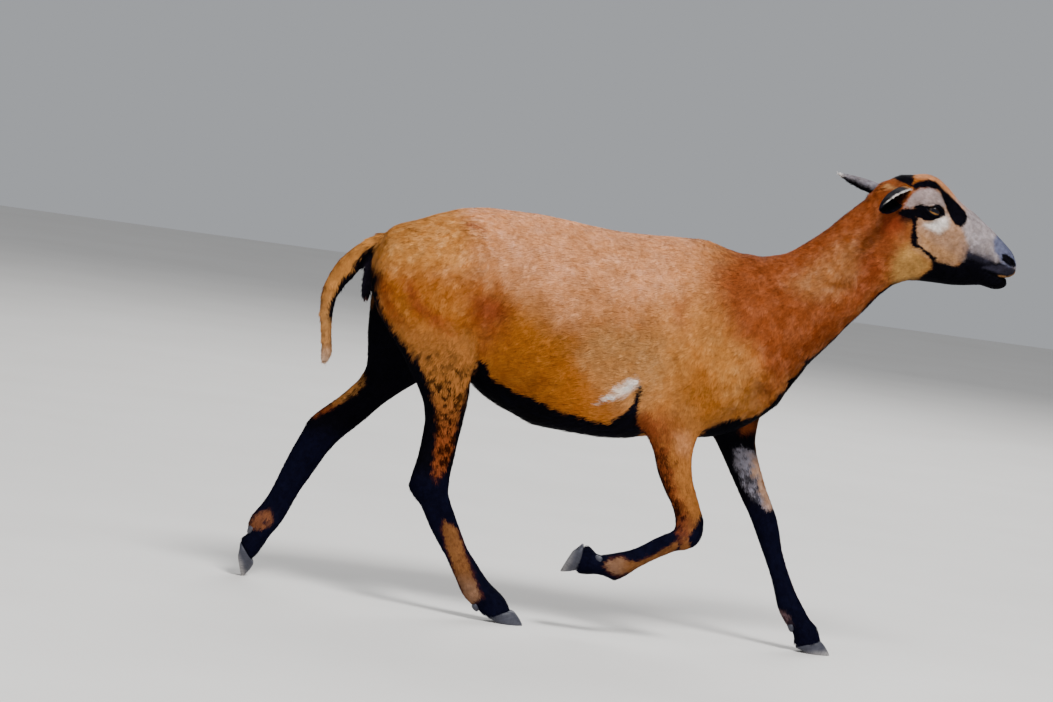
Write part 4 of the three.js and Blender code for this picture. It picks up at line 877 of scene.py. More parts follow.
# Patches in the side view: colour, strength, softness of the edge, raggedness, side
# (0 both, -1 right, 1 left) and outline.
BODY_PATCHES = (
    # painted highlight: a pale sheen over the loin and down the barrel in front of the hip
    ("tan_and_sheen", 0.6, 44, 9, 0,
     ((-123, 600), (21, 610), (80, 440), (45, 450), (0, 505), (-60, 550))),
    ("gold", 0.9, 44, 9, 0,
     ((-240, 575), (-124, 606), (-90, 555), (-100, 500), (-166, 490), (-240, 505))),
    ("orange", 0.9, 40, 10, 0,
     ((-228, 486), (-160, 500), (-95, 500), (-51, 491), (-14, 466), (24, 430), (20, 390),
      (-60, 385), (-110, 388), (-170, 394), (-212, 426))),
    ("orange", 0.9, 36, 9, 0,
     ((-110, 440), (10, 448), (50, 413), (92, 380), (108, 345), (100, 322), (60, 300),
      (-60, 330))),
    ("tan", 0.65, 40, 10, 0,
     ((75, 410), (100, 450), (200, 450), (215, 381), (160, 330), (118, 352))),
    # painted shade in the hollow in front of the thigh (this patch and the next)
    ("umber", 0.7, 56, 9, 0,
     ((-90, 484), (-51, 488), (-25, 458), (-32, 420), (-60, 392), (-89, 427))),
    ("russet", 0.55, 26, 6, 0, ((-81, 465), (-49, 473), (-31, 455), (-50, 437), (-75, 443))),
    # painted shade along grooves of the thigh (this patch and the next)
    ("russet", 0.65, 18, 5, 0,
     ((-188, 481), (-176, 483), (-159, 455), (-114, 432), (-94, 406), (-106, 400), (-137, 416),
      (-171, 445))),
    ("russet", 0.5, 24, 5, 0,
     ((-233, 479), (-217, 481), (-195, 442), (-153, 406), (-172, 391), (-210, 427))),
    ("umber", 0.85, 5, 2, -1, ((-109, 574), (-87, 570), (-78, 564), (-103, 567))),
    # painted highlight on the stifle
    ("tan_and_sheen", 0.5, 22, 5, 0,
     ((-146, 381), (-122, 391), (-98, 380), (-96, 362), (-116, 358), (-139, 364))),
    ("umber", 0.95, 60, 9, 0,
     ((292, 590), (330, 620), (480, 740), (530, 660), (520, 590), (470, 500), (410, 430),
      (360, 380), (335, 390), (305, 445), (272, 500), (256, 545))),
    ("tan", 0.42, 40, 8, 0,
     ((365, 548), (433, 614), (462, 632), (474, 578), (440, 538), (400, 532))),
    ("umber", 0.5, 24, 6, 0, ((201, 503), (224, 511), (230, 468), (210, 470))),
    ("gold", 0.5, 34, 6, 0, ((280, 455), (325, 460), (360, 412), (330, 372), (286, 380))),
    ("orange", 0.7, 26, 6, 0, ((244, 440), (273, 405), (298, 369), (273, 330), (238, 370))),
    ("russet", 0.35, 16, 5, 0,
     ((466, 605), (485, 612), (502, 590), (508, 574), (518, 569), (510, 554), (496, 532),
      (473, 529), (466, 560), (465, 585))),
    ("umber", 0.6, 16, 4, 0,
     ((480, 520), (435, 462), (393, 412), (376, 430), (418, 485), (468, 545))),
    ("black", 1.0, 3.5, 3, 0,
     ((-66, 381), (-52, 375), (-44, 362), (-33, 349), (-7, 339), (29, 332), (70, 320),
      (110, 314), (140, 313), (150, 321), (158, 332), (165, 347), (171, 364), (175, 380),
      (179, 366), (176, 345), (179, 325), (190, 298), (215, 285), (240, 240), (-120, 240),
      (-100, 330))),
    ("white", 0.8, 9, 6, 0,
     ((118, 338), (136, 359), (155, 380), (170, 387), (174, 377), (163, 364), (148, 354),
      (132, 343))),
    ("black", 1.0, 3.5, 3, 0,
     ((-247, 520), (-241, 495), (-233, 471), (-222, 448), (-211, 427), (-186, 396), (-157, 378),
      (-140, 358), (-129, 330), (-125, 305), (-125, 280), (-400, 280), (-400, 520))),
    ("black", 1.0, 3.5, 3, 0,
     ((262, 304), (269, 311), (295, 335), (323, 347), (343, 348), (361, 362), (373, 384),
      (386, 396), (396, 411), (406, 428), (412, 445), (440, 445), (420, 280), (262, 280))),
)
LEG_PATCHES = (
    ("umber", 0.7, 10, 4, 1, ((322, 326), (350, 336), (355, 325), (333, 315))),
    # painted highlight on the upper forearm of the right fore leg
    ("tan_and_sheen", 0.45, 18, 3, -1, ((228, 314), (248, 318), (256, 300), (252, 282), (236, 288))),
)
FACE_PATCHES = (
    ("grey", 1.0, 8, 1, 0, ((604, 740), (604, 640), (640, 560), (720, 560), (720, 740))),
    ("pink_tan", 1.0, 14, 2, 0,
     ((538, 690), (540, 620), (604, 600), (612, 640), (612, 700), (570, 712))),
    ("umber", 0.8, 14, 2, 0,
     ((478, 712), (500, 722), (560, 728), (566, 700), (530, 690), (516, 640), (500, 600),
      (478, 600))),
    ("orange", 0.6, 10, 2, 0, ((512, 735), (536, 738), (548, 716), (536, 706), (520, 706))),
    ("straw", 0.95, 20, 4, 0,
     ((526, 618), (534, 627), (543, 623), (553, 621), (574, 600), (561, 583), (542, 575),
      (528, 571), (519, 578), (518, 598))),
    ("tan_and_sheen", 0.9, 6, 1.5, 0,
     ((531, 740), (533, 724), (545, 724), (560, 722), (576, 712), (592, 698), (607, 685),
      (620, 700), (590, 745))),
    ("grey", 0.95, 15, 3, 0,
     ((596, 700), (600, 694), (619, 685), (634, 676), (652, 666), (668, 660), (670, 640),
      (672, 627), (664, 619), (654, 622), (642, 625), (629, 629), (623, 632), (613, 650),
      (607, 661), (610, 669), (611, 678), (640, 710))),
    ("beige", 0.95, 4, 1.5, 0,
     ((520, 681), (524, 691), (531, 703), (542, 710), (556, 712), (567, 707), (575, 698),
      (578, 687), (569, 689), (557, 688), (545, 686), (537, 685), (530, 680))),
    ("russet", 0.7, 30, 5, 0, ((483, 668), (512, 673), (534, 668), (530, 640), (491, 643))),
    ("black", 0.75, 12, 4, 0,
     ((512, 672), (520, 680), (536, 678), (538, 660), (527, 654), (517, 660))),
    ("pink_tan", 0.95, 9, 3, 0,
     ((540, 664), (546, 640), (549, 630), (567, 621), (577, 610), (597, 606), (609, 606),
      (618, 614), (623, 624), (622, 636), (613, 653), (603, 663), (590, 673), (578, 678),
      (560, 668))),
    ("tan", 0.6, 12, 2, 0,
     ((546, 650), (552, 624), (580, 606), (612, 608), (606, 622), (572, 634))),
    # painted highlight: white on the cheek under the front of the eye
    ("white", 1.0, 13, 3, 0,
     ((553, 660), (571, 671), (579, 679), (585, 674), (587, 660), (576, 652), (563, 653))),
    ("black", 1.0, 2.2, 1.2, 0,
     ((513, 671), (516, 678), (524, 681), (534, 680), (537, 686), (545, 689), (557, 688),
      (568, 691), (575, 687), (581, 679), (580, 675), (574, 674), (568, 669), (560, 665),
      (550, 665), (544, 668), (539, 668), (535, 664), (527, 665), (520, 666))),
    ("black", 1.0, 2.0, 1.2, 0,
     ((533, 669), (536, 648), (536, 631), (541, 625), (548, 624), (553, 623), (564, 615),
      (572, 608), (577, 613), (567, 621), (554, 627), (548, 631), (543, 650), (542, 668))),
    ("black", 1.0, 2.4, 1.5, 0,
     ((528, 713), (540, 721), (552, 724), (562, 722), (571, 714), (583, 705), (594, 697),
      (607, 687), (615, 678), (613, 668), (606, 661), (597, 664), (587, 675), (580, 686),
      (575, 699), (567, 710), (557, 712), (543, 711), (532, 707))),
    ("tan", 0.7, 3, 1.2, 0,
     ((475, 687), (477, 702), (491, 711), (506, 710), (517, 707), (512, 702), (498, 705),
      (486, 699), (482, 684))),
    # black at the root of the ear where its hollow opens: dark hair, with painted shade in the
    # hollow
    ("black", 0.9, 5, 2.5, 0,
     ((501, 701), (511, 708), (523, 707), (522, 695), (516, 686), (509, 679), (500, 681))),
    ("black", 1.0, 2.4, 1.5, 0,
     ((503, 722), (506, 745), (530, 745), (532, 719), (527, 711), (518, 713), (509, 718))),
    ("black", 0.55, 16, 6, 0,
     ((612, 618), (622, 634), (648, 634), (668, 624), (668, 600), (612, 600))),
    ("black", 1.0, 5, 2.4, 0,
     ((573, 615), (576, 610), (588, 608), (599, 606), (611, 606), (618, 612), (622, 621),
      (624, 629), (630, 627), (642, 624), (654, 620), (668, 618), (684, 616), (699, 610),
      (704, 560), (550, 560), (556, 572), (563, 586), (572, 597))),
    ("slate", 0.45, 14, 4, 0,
     ((610, 642), (623, 632), (645, 626), (660, 624), (656, 616), (633, 619), (620, 622))),
    ("steel", 1.0, 6, 1.5, 0,
     ((657, 648), (668, 662), (684, 652), (698, 636), (702, 614), (685, 614), (672, 622),
      (662, 632))),
    ("slate", 0.5, 5, 1, 0,
     ((647, 608), (659, 612), (674, 614), (692, 615), (700, 606), (691, 602), (680, 601),
      (666, 604))),
    ("tan", 0.7, 1.4, 0.4, 0,
     ((672, 597.5), (680, 597), (688, 597.5), (695, 601), (698.5, 607), (695.5, 608),
      (692.5, 603), (686, 599.5), (672, 599.5))),
    ("black", 1.0, 1.6, 0.3, 0,
     ((671, 631), (677, 632), (684, 629), (692, 624), (696, 617), (693, 613), (687, 615),
      (680, 618.5), (674, 622.5))),
)

# Brown stripes down the legs on black: how far down the leg (0 top, 1 stifle or elbow, 2 hock or
# knee, 3 fetlock, 4 coronet) and between which parts of the leg's depth (0 back, 1 front).
HIND_OUTER = (
    (0, -0.4, 1.4), (0.5, -0.2, 1.4), (0.6, 0.1, 1.35), (0.73, 0.15, 1.25), (0.82, 0.22, 1.08),
    (0.9, 0.28, 1), (1, 0.3, 0.92), (1.2, 0.3, 0.88), (1.32, 0.33, 0.86), (1.52, 0.38, 0.85),
    (1.65, 0.43, 0.82), (1.84, 0.5, 0.76), (1.93, 0.6, 0.66), (1.98, 0.8, 0.5), (2.26, 0.8, 0.5),
    (2.3, 0.58, 0.66), (2.38, 0.46, 0.9), (2.62, 0.25, 0.82), (2.84, 0.1, 0.62), (3.14, 0.02, 0.4),
    (3.36, 0.02, 0.24), (3.5, 0.1, 0.05), (4, 0.3, -0.2),
)
HIND_INNER = (
    (0, -0.5, -0.9), (1, -0.5, -0.9), (1.1, -0.2, 0.05), (1.16, -0.2, 0.14), (1.25, -0.2, 0.21),
    (1.45, -0.2, 0.23), (1.6, -0.2, 0.2), (1.7, -0.2, 0.08), (1.76, -0.2, -0.9), (2.8, 0.5, 0.2),
    (2.86, 0.22, 0.5), (2.95, 0.06, 0.68), (3.08, 0.06, 0.68), (3.2, 0.2, 0.55), (3.26, 0.5, 0.2),
    (4, 0.5, 0.2),
)
FORE_OUTER = (
    (0, -0.4, 1.4), (0.95, -0.4, 1.4), (1, 0.02, 1.3), (1.3, 0.1, 1.2), (1.72, 0.1, 1.1),
    (1.8, 0.1, 0.85), (1.86, 0.1, 0.68), (2, 0.12, 0.5), (2.08, 0.35, 0.85), (2.2, 0.58, 0.97),
    (2.43, 0.72, 1), (2.67, 0.68, 1), (2.8, 0.42, 0.88), (2.93, 0.2, 0.76), (3.1, 0.2, 0.68),
    (3.22, 0.35, 0.5), (3.3, 0.6, 0.2), (4, 0.6, 0.2),
)
FORE_INNER = (
    (0, -0.5, -0.9), (1.15, -0.5, -0.9), (1.2, 0.9, 0.3), (1.27, 0.4, 0.9), (1.38, 0.3, 0.96),
    (1.48, 0.24, 1), (1.63, 0.28, 0.96), (1.75, 0.45, 0.95), (1.83, 0.62, 0.92), (1.9, 0.9, 0.6),
    (1.95, -0.2, -0.9), (2.84, -0.2, -0.9), (2.92, -0.2, 0.15), (2.98, -0.2, 0.3),
    (3.25, -0.2, 0.26), (3.42, -0.2, 0.05), (3.5, -0.2, -0.9), (4, -0.2, -0.9),
)
LEG_MARKS = {  # stripes, how far the black begins, and where the leg's joints are on its stack
    "right_hind": (HIND_OUTER, HIND_INNER, 0.62, (550, 340, 180, 38, 10)),
    "left_hind": (HIND_OUTER, HIND_INNER, 0.62, (550, 340, 212, 82, 45)),
    "left_fore": (FORE_OUTER, FORE_INNER, 0.95, (515, 330, 185, 50, 12)),
    "right_fore": (FORE_OUTER, FORE_INNER, 0.95, (515, 330, 160, 20, 10)),
}
FOLDED_JOINTS = (600, 400, 272, 172, 120)


def outline_distance(q, outline):
    """How far points in the side view are from an outline, negative inside it."""
    q = np.asarray(q)
    nearest = np.full(len(q), np.inf)
    inside = np.zeros(len(q), dtype=bool)
    for a, b in zip(outline, outline[1:] + outline[:1]):
        a, e = np.array(a, dtype=float), np.array(b, dtype=float) - a
        w = q - a
        t = np.clip(w @ e / (e @ e), 0, 1)
        nearest = np.minimum(nearest, np.linalg.norm(w - t[:, None] * e, axis=1))
        if e[1]:
            crosses = (w[:, 1] >= 0) != (w[:, 1] >= e[1])
            inside ^= crosses & (w[:, 0] < w[:, 1] / e[1] * e[0])
    return np.where(inside, -nearest, nearest)


def mixed(colour, name, amount):
    return colour + (np.array(COLOURS[name]) - colour) * amount[:, None]


def plain(name, count):
    """One colour for each of a number of points."""
    return np.tile(COLOURS[name], (count, 1))


def painted(colour, p, patches):
    """Colours with a list of patches laid over them."""
    rough = double_noise(p, 7, 2.6, 0.7, 3)
    wide = value_noise(p, 30, 5)
    for name, strength, soft, ragged, side, outline in patches:
        d = outline_distance(p[:, (0, 2)], outline) + ragged * (0.55 * rough + 0.35 * wide)
        amount = strength * smoothstep(soft / 2, -soft / 2, d)
        if side:
            amount = amount * (side * p[:, 1] > 0)
        colour = mixed(colour, name, amount)
    return colour


def stripe_amount(table, along, across, rough):
    """How much of a stripe's colour shows at places down and across a leg."""
    table = np.array(table)
    low = np.interp(along, table[:, 0], table[:, 1])
    high = np.interp(along, table[:, 0], table[:, 2])
    d = np.maximum(low - across, across - high) + 0.05 * rough
    return smoothstep(0.05 + 0.06 * smoothstep(2, 2.2, along), -0.05, d)


def down_leg(s, joints):
    """Places along a leg's stack as numbers from 0 at its top to 4 at the coronet."""
    return np.interp(-s, -np.array(joints, dtype=float), range(5))


def leg_colour(name, p, colour):
    """Lays a leg's black and its brown stripes over the colours of the body."""
    side = FEET[name][0]
    outer, inner, start, joints = LEG_MARKS[name]
    stacks = leg_stacks[name]
    near = np.nonzero((side * p[:, 1] > 5) & (leg_field(name, p) < 14))[0]
    if not len(near):
        return colour
    q = p[near]
    s, u, section = stacks[0].place(q)
    across = share_across(u, section)
    along = down_leg(s, joints)
    if len(stacks) > 1:
        folded = stacks[1](q) < stacks[0](q)
        s, u, lower_section = stacks[1].place(q)
        along = np.where(folded, down_leg(s, FOLDED_JOINTS), along)
        across = np.where(folded, 1 - share_across(u, lower_section), across)
    out = (q[:, 1] * side - np.abs(section[:, 2])) / section[:, 3]
    rough = double_noise(q, 8, 2.4, 0.6, 7)
    outer_amount = stripe_amount(outer, along, across, rough)
    inner_amount = stripe_amount(inner, along, across, rough)
    face = smoothstep(-0.45, 0.15, out + 0.12 * rough)
    fore = "fore" in name
    dark = smoothstep(start - 0.12, start + 0.12, along + 0.05 * rough)
    dark = np.maximum(dark, (1 - face) * smoothstep(0.1, 0.4, along) * (not fore))
    leg = plain("black", len(q))
    below = smoothstep(2.05, 2.3, along)
    fleck = smoothstep(0.25, -0.2, double_noise(q, 2.6, 7, 0.6, 9))
    if fore:
        ragged = across + 0.15 * rough
        brown = mixed(plain("chestnut", len(q)), "umber", smoothstep(0.7, 0.2, ragged))
        cover = smoothstep(0.62, 0.15, ragged) * smoothstep(1.0, 1.4, along) * 0.85
    else:
        brown = mixed(plain("chestnut", len(q)), "umber", smoothstep(0.9, 1.6, along))
        cover = smoothstep(0.62, 1.1, along + 0.15 * rough) * 0.9
        cover = np.maximum(cover, 0.9 * np.exp(-(((along - 1.45) / 0.14) ** 2)))
    brown *= (1 - (1 - fleck) * cover * (1 - below))[:, None]
    brown *= 1 - 0.35 * (smoothstep(1.6, 1.9, along) * fore)[:, None]
    core = smoothstep(0.5, 1.0, outer_amount * smoothstep(-0.1, 0.6, out)) ** 1.5
    lower = mixed(plain("umber", len(q)) * 0.55, "gold", 0.8 * core * (0.75 + 0.25 * fleck))
    lower = mixed(lower, "pink_tan", 0.6 * core * smoothstep(2.75, 2.95, along)) * 0.56
    brown += (lower - brown) * below[:, None]
    leg += (brown - leg) * (outer_amount * face)[:, None]
    frost = smoothstep(0.6, -0.4, double_noise(q, 3.2, 9, 0.7, 9))
    if fore:
        warm = smoothstep(0.6, 0.85, across + 0.12 * rough) * smoothstep(1.25, 1.4, along)
        pale = mixed(plain("ash", len(q)) * (0.8, 0.82, 0.92), "pink_tan", 0.9 * warm)
        frost = np.maximum(frost, 0.8 * warm)
    else:
        pale = mixed(plain("gold", len(q)) * 1.25, "umber", smoothstep(1.4, 1.6, along))
        pale = mixed(pale, "tan", 0.6 * below)
    pale = mixed(pale, "umber", 0.5 * below) * (1 - 0.4 * below)[:, None]
    leg += (pale - leg) * (inner_amount * (1 - face) * (0.15 + 0.85 * frost))[:, None]
    # painted sheen: a faint blue sky reflection added to the black of the lower legs
    leg += np.array((0.0008, 0.0012, 0.0075)) * smoothstep(1.7, 2.0, along)[:, None]
    member = smoothstep(12, 4, leg_field(name, q)) * dark
    colour = colour.copy()
    colour[near] += (leg - colour[near]) * member[:, None]
    return colour


def markings(p):
    """The colour of skin and hair at points on the body."""
    colour = plain("chestnut", len(p))
    x, y, z = p[:, 0], np.abs(p[:, 1]), p[:, 2]
    wide = double_noise(p, 60, 22, 0.5, 1)
    # the back and upper barrel grow paler towards the top: partly paler hair, partly a painted
    # highlight where light falls from above
    colour = mixed(colour, "tan_and_sheen", 0.9 * smoothstep(400, 560, z + 26 * wide)
                   * smoothstep(310, 190, x + 24 * wide) * smoothstep(-235, -110, x + 15 * wide))
    colour = mixed(colour, "gold", 0.5 * smoothstep(330, 420, z) * smoothstep(150, 220, x)
                   * smoothstep(350, 290, x + 20 * wide) * smoothstep(560, 480, z + 18 * wide))
    colour = mixed(colour, "orange", 0.8 * smoothstep(450, 390, z + 18 * wide)
                   * smoothstep(190, 120, x))
    colour = painted(colour, p, BODY_PATCHES)
    dapple = double_noise(p, 5.5, 13, 0.7, 50)
    dapple *= 1 + 1.4 * smoothstep(250, 380, x) + smoothstep(-20, -90, x)
    dapple *= smoothstep(545, 515, x)
    colour = colour * np.exp(dapple[:, None] * (0.10, 0.17, 0.30))
    inside = np.maximum.reduce([
        smoothstep(-120, -165, x) * smoothstep(498, 476, z) * smoothstep(58, 40, y + 5 * wide),
        smoothstep(-204, -224, x) * smoothstep(500, 478, z) * smoothstep(76, 64, y + 5 * wide),
        smoothstep(425, 405, z) * smoothstep(-50, -70, x) * smoothstep(38, 28, y + 4 * wide)])
    colour = mixed(colour, "black", inside)
    # painted light: a paler line along the top of the back, and the lower front barrel brightened
    # where it faces down into shade
    light = 0.16 * smoothstep(562, 600, z) * smoothstep(240, 180, x)
    light += 0.5 * smoothstep(430, 350, z) * smoothstep(20, 100, x) * smoothstep(250, 200, x)
    colour = colour * (1 + light)[:, None]
    # black along the underside of the neck: partly the dark underside of the coat, partly painted
    # shade under the angle of the jaw
    s, u, section = neck_field.place(p)
    depth = share_across(u, section)
    under = (s > 560) & (s < 860) & (x > 340) & (x < 560)
    rough = value_noise(p, 9, 11)
    colour = mixed(colour, "black", under * smoothstep(0.05, 0.028, depth + 0.012 * rough)
                   * smoothstep(600, 570, z))
    for name in FEET:
        colour = leg_colour(name, p, colour)
    colour = painted(colour, p, LEG_PATCHES)
    tail = np.nonzero((x < -222) & (tail_field(p) < 8) & (z < 548) & (y < 24))[0]
    if len(tail):
        q = p[tail]
        _, u, section = tail_field.place(q)
        across = share_across(u, section)
        under = smoothstep(0.5, 0.68, across + 0.08 * value_noise(q, 6, 12))
        under *= smoothstep(392, 412, q[:, 2] + 6 * value_noise(q, 8, 13))
        shade = mixed(plain("gold", len(q)), "tan", 0.7 * smoothstep(480, 380, q[:, 2]))
        shade = mixed(shade, "white", 0.25 * smoothstep(375, 345, q[:, 2]))
        shade = mixed(shade, "black", under)
        member = smoothstep(8, 3, tail_field(q)) * smoothstep(-228, -246, q[:, 0])
        colour[tail] += (shade - colour[tail]) * member[:, None]
    face = np.nonzero(x > 492)[0]
    if len(face):
        colour[face] = painted(colour[face], p[face], FACE_PATCHES)
    fine = value_noise(p, 4, 20)
    speckle = 1 + 0.10 * fine + 0.08 * wide
    speckle += smoothstep(530, 560, x) * (0.10 * fine + 0.16 * value_noise(p, 2.2, 21)
                                          + 0.10 * value_noise(p, 12, 22))
    bare = smoothstep(FLAP_BARE, FLAP_BARE - 10, z)[:, None] * (0.11, 0.045, 0.035)
    bare += (0.010, 0.008, 0.014)
    colour = colour + (bare - colour) * flap_amount(p)[:, None]
    return np.clip(colour * speckle[:, None], 0.001, 1)


def ear_markings(points, marks, left):
    """The ears: dark backs, and black mouths of dark hair with painted shade in the hollow, with a
    line of pale hair along one rim.
    """
    across, along, face = marks.T
    rough = value_noise(points, 4, 30)
    colour = plain("slate", len(points))
    if left:
        colour = mixed(colour, "ash", 0.62 + 0.3 * rough)
        colour = mixed(colour, "black", smoothstep(0.4, 0.75, across + 0.12 * rough))
        rim = smoothstep(0.84, 0.95, along + 0.05 * rough)
    else:
        colour = mixed(colour, "black", np.clip(0.95 + 0.2 * rough, 0, 1))
        sheen = smoothstep(0.35, 0.7, across + 0.25 * rough) * smoothstep(0.9, 0.6, along)
        colour = mixed(colour, "ash", 0.03 * sheen)
        colour = mixed(colour, "tan", 0.8 * (1 - face) * smoothstep(0.2, 0.05, along))
        rim = smoothstep(0.93, 0.97, across + 0.02 * rough) * smoothstep(0.95, 0.75, along)
    # the mouth of each ear is black: its own dark hair, and painted shade in the hollow
    colour = mixed(colour, "black", face * smoothstep(1.0, 0.85, np.abs(across)))
    return mixed(colour, "white", 0.85 * rim)


# ---------------------------------------------------------------- the lie of the coat
# Each guide holds along a line: side (0 both), start, end, the way the hair points, its reach,
# then hair length and strand width in millimetres, its rise in degrees and tufts per square
# millimetre. The named ones are these last values, on the legs with the reach before them.

SIDE_HAIR = (9.5, 1.05, 6, 0.14)
FLANK_HAIR = (9.5, 1.1, 6, 0.14)
RUMP_HAIR = (9.5, 1.05, 5, 0.14)
UPPER_LEG = (35, 8, 0.9, 4, 0.18)
CANNON = (25, 6, 0.8, 4, 0.24)
FOOT = (22, 8, 0.75, 5, 0.3)
GUIDES = (
    (0, (-230, 0, 570), (250, 0, 595), (-1, 0, -0.08), 60, 10, 1.1, 5, 0.135),
    (0, (-20, 110, 520), (240, 100, 520), (-0.95, 0.05, -0.35), 60, *FLANK_HAIR),
    (0, (-20, 110, 400), (200, 115, 400), (-0.93, 0, -0.4), 60, 10, 1.1, 6, 0.14),
    (0, (-20, 60, 300), (150, 50, 290), (-1, 0, -0.1), 45, 14, 1.25, 7, 0.10),
    (0, (95, 50, 302), (142, 48, 300), (-0.75, 0, -0.65), 16, 17, 0.9, 13, 0.12),
    (0, (270, 95, 500), (270, 95, 400), (-0.35, 0.1, -0.95), 50, *SIDE_HAIR),
    (0, (350, 40, 480), (380, 0, 400), (-0.1, 0.2, -1), 45, *FLANK_HAIR),
    (0, (-60, 90, 480), (-70, 90, 400), (-0.45, 0, -0.9), 40, *SIDE_HAIR),
    (0, (-150, 90, 520), (-150, 90, 400), (-0.5, 0.05, -0.87), 55, *SIDE_HAIR),
    (0, (-235, 40, 500), (-230, 40, 400), (-0.15, 0, -1), 40, *RUMP_HAIR),
    (0, (-160, 40, 585), (-200, 30, 575), (-1, 0.1, -0.25), 45, *RUMP_HAIR),
    (0, (330, 60, 560), (470, 45, 640), (-0.72, 0, -0.7), 60, 8, 0.95, 8, 0.17),
    (0, (300, 0, 610), (470, 0, 715), (-0.75, 0, -0.66), 45, 9, 0.95, 8, 0.16),
    (0, (400, 0, 460), (500, 0, 560), (-0.6, 0, -0.8), 45, 8.5, 0.95, 8, 0.16),
    (0, (600, 20, 690), (680, 10, 650), (-0.8, 0.1, 0.55), 30, 3.4, 0.55, 4, 0.56),
    (0, (520, 10, 728), (580, 10, 722), (-1, 0, 0.15), 25, 5.5, 0.7, 8, 0.36),
    (0, (540, 50, 650), (600, 40, 640), (-1, 0, -0.15), 30, 4.2, 0.6, 4, 0.46),
    (0, (560, 30, 590), (640, 20, 585), (-1, 0, -0.1), 25, 4.6, 0.65, 5, 0.42),
    (0, (660, 20, 610), (695, 5, 605), (-0.9, 0.3, -0.2), 18, 2.4, 0.48, 4, 0.62),
    (0, (-225, 0, 530), (-260, 0, 515), (-0.85, 0, -0.5), 20, 11, 1.1, 5, 0.15),
    (0, (-290, 0, 495), (-297, 0, 345), (-0.12, 0, -1), 30, 10, 1.0, 3, 0.2),
    (-1, (-130, -60, 340), (-112, -62, 190), (0.1, 0, -1), *UPPER_LEG),
    (-1, (-110, -62, 170), (-40, -62, 50), (0.45, 0, -0.9), *CANNON),
    (-1, (-30, -62, 40), (10, -62, 10), (0.6, 0, -0.8), *FOOT),
    (1, (-190, 60, 340), (-290, 62, 220), (-0.65, 0, -0.76), *UPPER_LEG),
    (1, (-300, 62, 210), (-350, 62, 90), (-0.35, 0, -0.94), *CANNON),
    (1, (-355, 64, 80), (-372, 64, 30), (-0.3, 0, -0.95), *FOOT),
    (1, (310, 60, 340), (390, 62, 190), (0.4, 0, -0.9), *UPPER_LEG),
    (1, (395, 62, 180), (445, 63, 60), (0.37, 0, -0.93), *CANNON),
    (1, (450, 64, 50), (480, 64, 15), (0.55, 0, -0.83), *FOOT),
    (-1, (225, -60, 335), (265, -62, 180), (0.25, 0, -0.97), 45, 8, 0.9, 3, 0.18),
    (-1, (262, -62, 150), (180, -63, 105), (-0.9, 0, -0.42), *CANNON),
    (-1, (165, -64, 100), (118, -64, 100), (-1, 0, 0.1), *FOOT),
)


def coat_at(p):
    """The way the hair points and its length, width, rise and density at points on the body."""
    least = 1e-6                     # the weight of the values that hold where no guide reaches
    way = np.tile(np.array((-1, 0, -0.2)) * least, (len(p), 1))
    facts = np.tile(np.array((14, 1.4, 7, 0.09)) * least, (len(p), 1))
    total = np.full(len(p), least)
    sign = np.where(p[:, 1] < 0, -1.0, 1.0)
    mirrored = onto_left(p)
    for side, start, end, direction, reach, *values in GUIDES:
        q = p if side else mirrored
        near = capsule(q, start, end, 0)
        weight = np.exp(-((near / reach) ** 2)) / reach ** 1.5
        if side:
            weight = weight * (side * p[:, 1] > 10)
        turned = np.tile(unit(direction), (len(p), 1))
        if not side:
            turned[:, 1] *= sign
        way += weight[:, None] * turned
        facts += weight[:, None] * values
        total += weight
    return unit(way), facts / total[:, None]


# ---------------------------------------------------------------- finishes


def node(tree, kind, inputs=None, **settings):
    """A new node with its settings, and each input linked to a socket or set to a value."""
    made = tree.nodes.new(kind)
    for key, value in settings.items():
        setattr(made, key, value)
    for key, value in (inputs or {}).items():
        if isinstance(value, bpy.types.NodeSocket):
            tree.links.new(value, made.inputs[key])
        else:
            made.inputs[key].default_value = value
    return made


def maths(tree, operation, *values):
    return node(tree, "ShaderNodeMath", dict(enumerate(values)), operation=operation).outputs[0]


def vector_length(tree, a, b):
    """The length of the vector (a, b)."""
    squares = (maths(tree, "MULTIPLY", v, v) for v in (a, b))
    return maths(tree, "SQRT", maths(tree, "ADD", *squares))


def ramp(tree, value, low, high, start=0.0, end=1.0):
    """A smooth step of a value, from start to end."""
    made = node(tree, "ShaderNodeMapRange",
                {"Value": value, "From Min": low, "From Max": high, "To Min": start,
                 "To Max": end}, interpolation_type="SMOOTHSTEP")
    return made.outputs[0]


def mix(tree, factor, a, b, how="MIX"):
    made = node(tree, "ShaderNodeMix", {0: factor, 6: a, 7: b}, data_type="RGBA", blend_type=how)
    return made.outputs[2]


def rgba(colour, amount=1.0):
    return (*(amount * c for c in colour), 1.0)


def channels(tree, red, green, blue):
    return node(tree, "ShaderNodeCombineColor",
                {"Red": red, "Green": green, "Blue": blue}).outputs[0]


def object_place(tree):
    return node(tree, "ShaderNodeTexCoord").outputs["Object"]


def stretched(tree, place, scale, turn=(0, 0, 0)):
    """A place turned and drawn out, for noise that runs one way."""
    return node(tree, "ShaderNodeMapping",
                {"Vector": place, "Rotation": turn, "Scale": scale}).outputs[0]


def attribute(tree, name, output="Fac"):
    return node(tree, "ShaderNodeAttribute", attribute_name=name).outputs[output]


def noise(tree, place, scale, detail=2.0, roughness=0.5):
    return node(tree, "ShaderNodeTexNoise",
                {"Vector": place, "Scale": scale, "Detail": detail,
                 "Roughness": roughness}).outputs["Fac"]


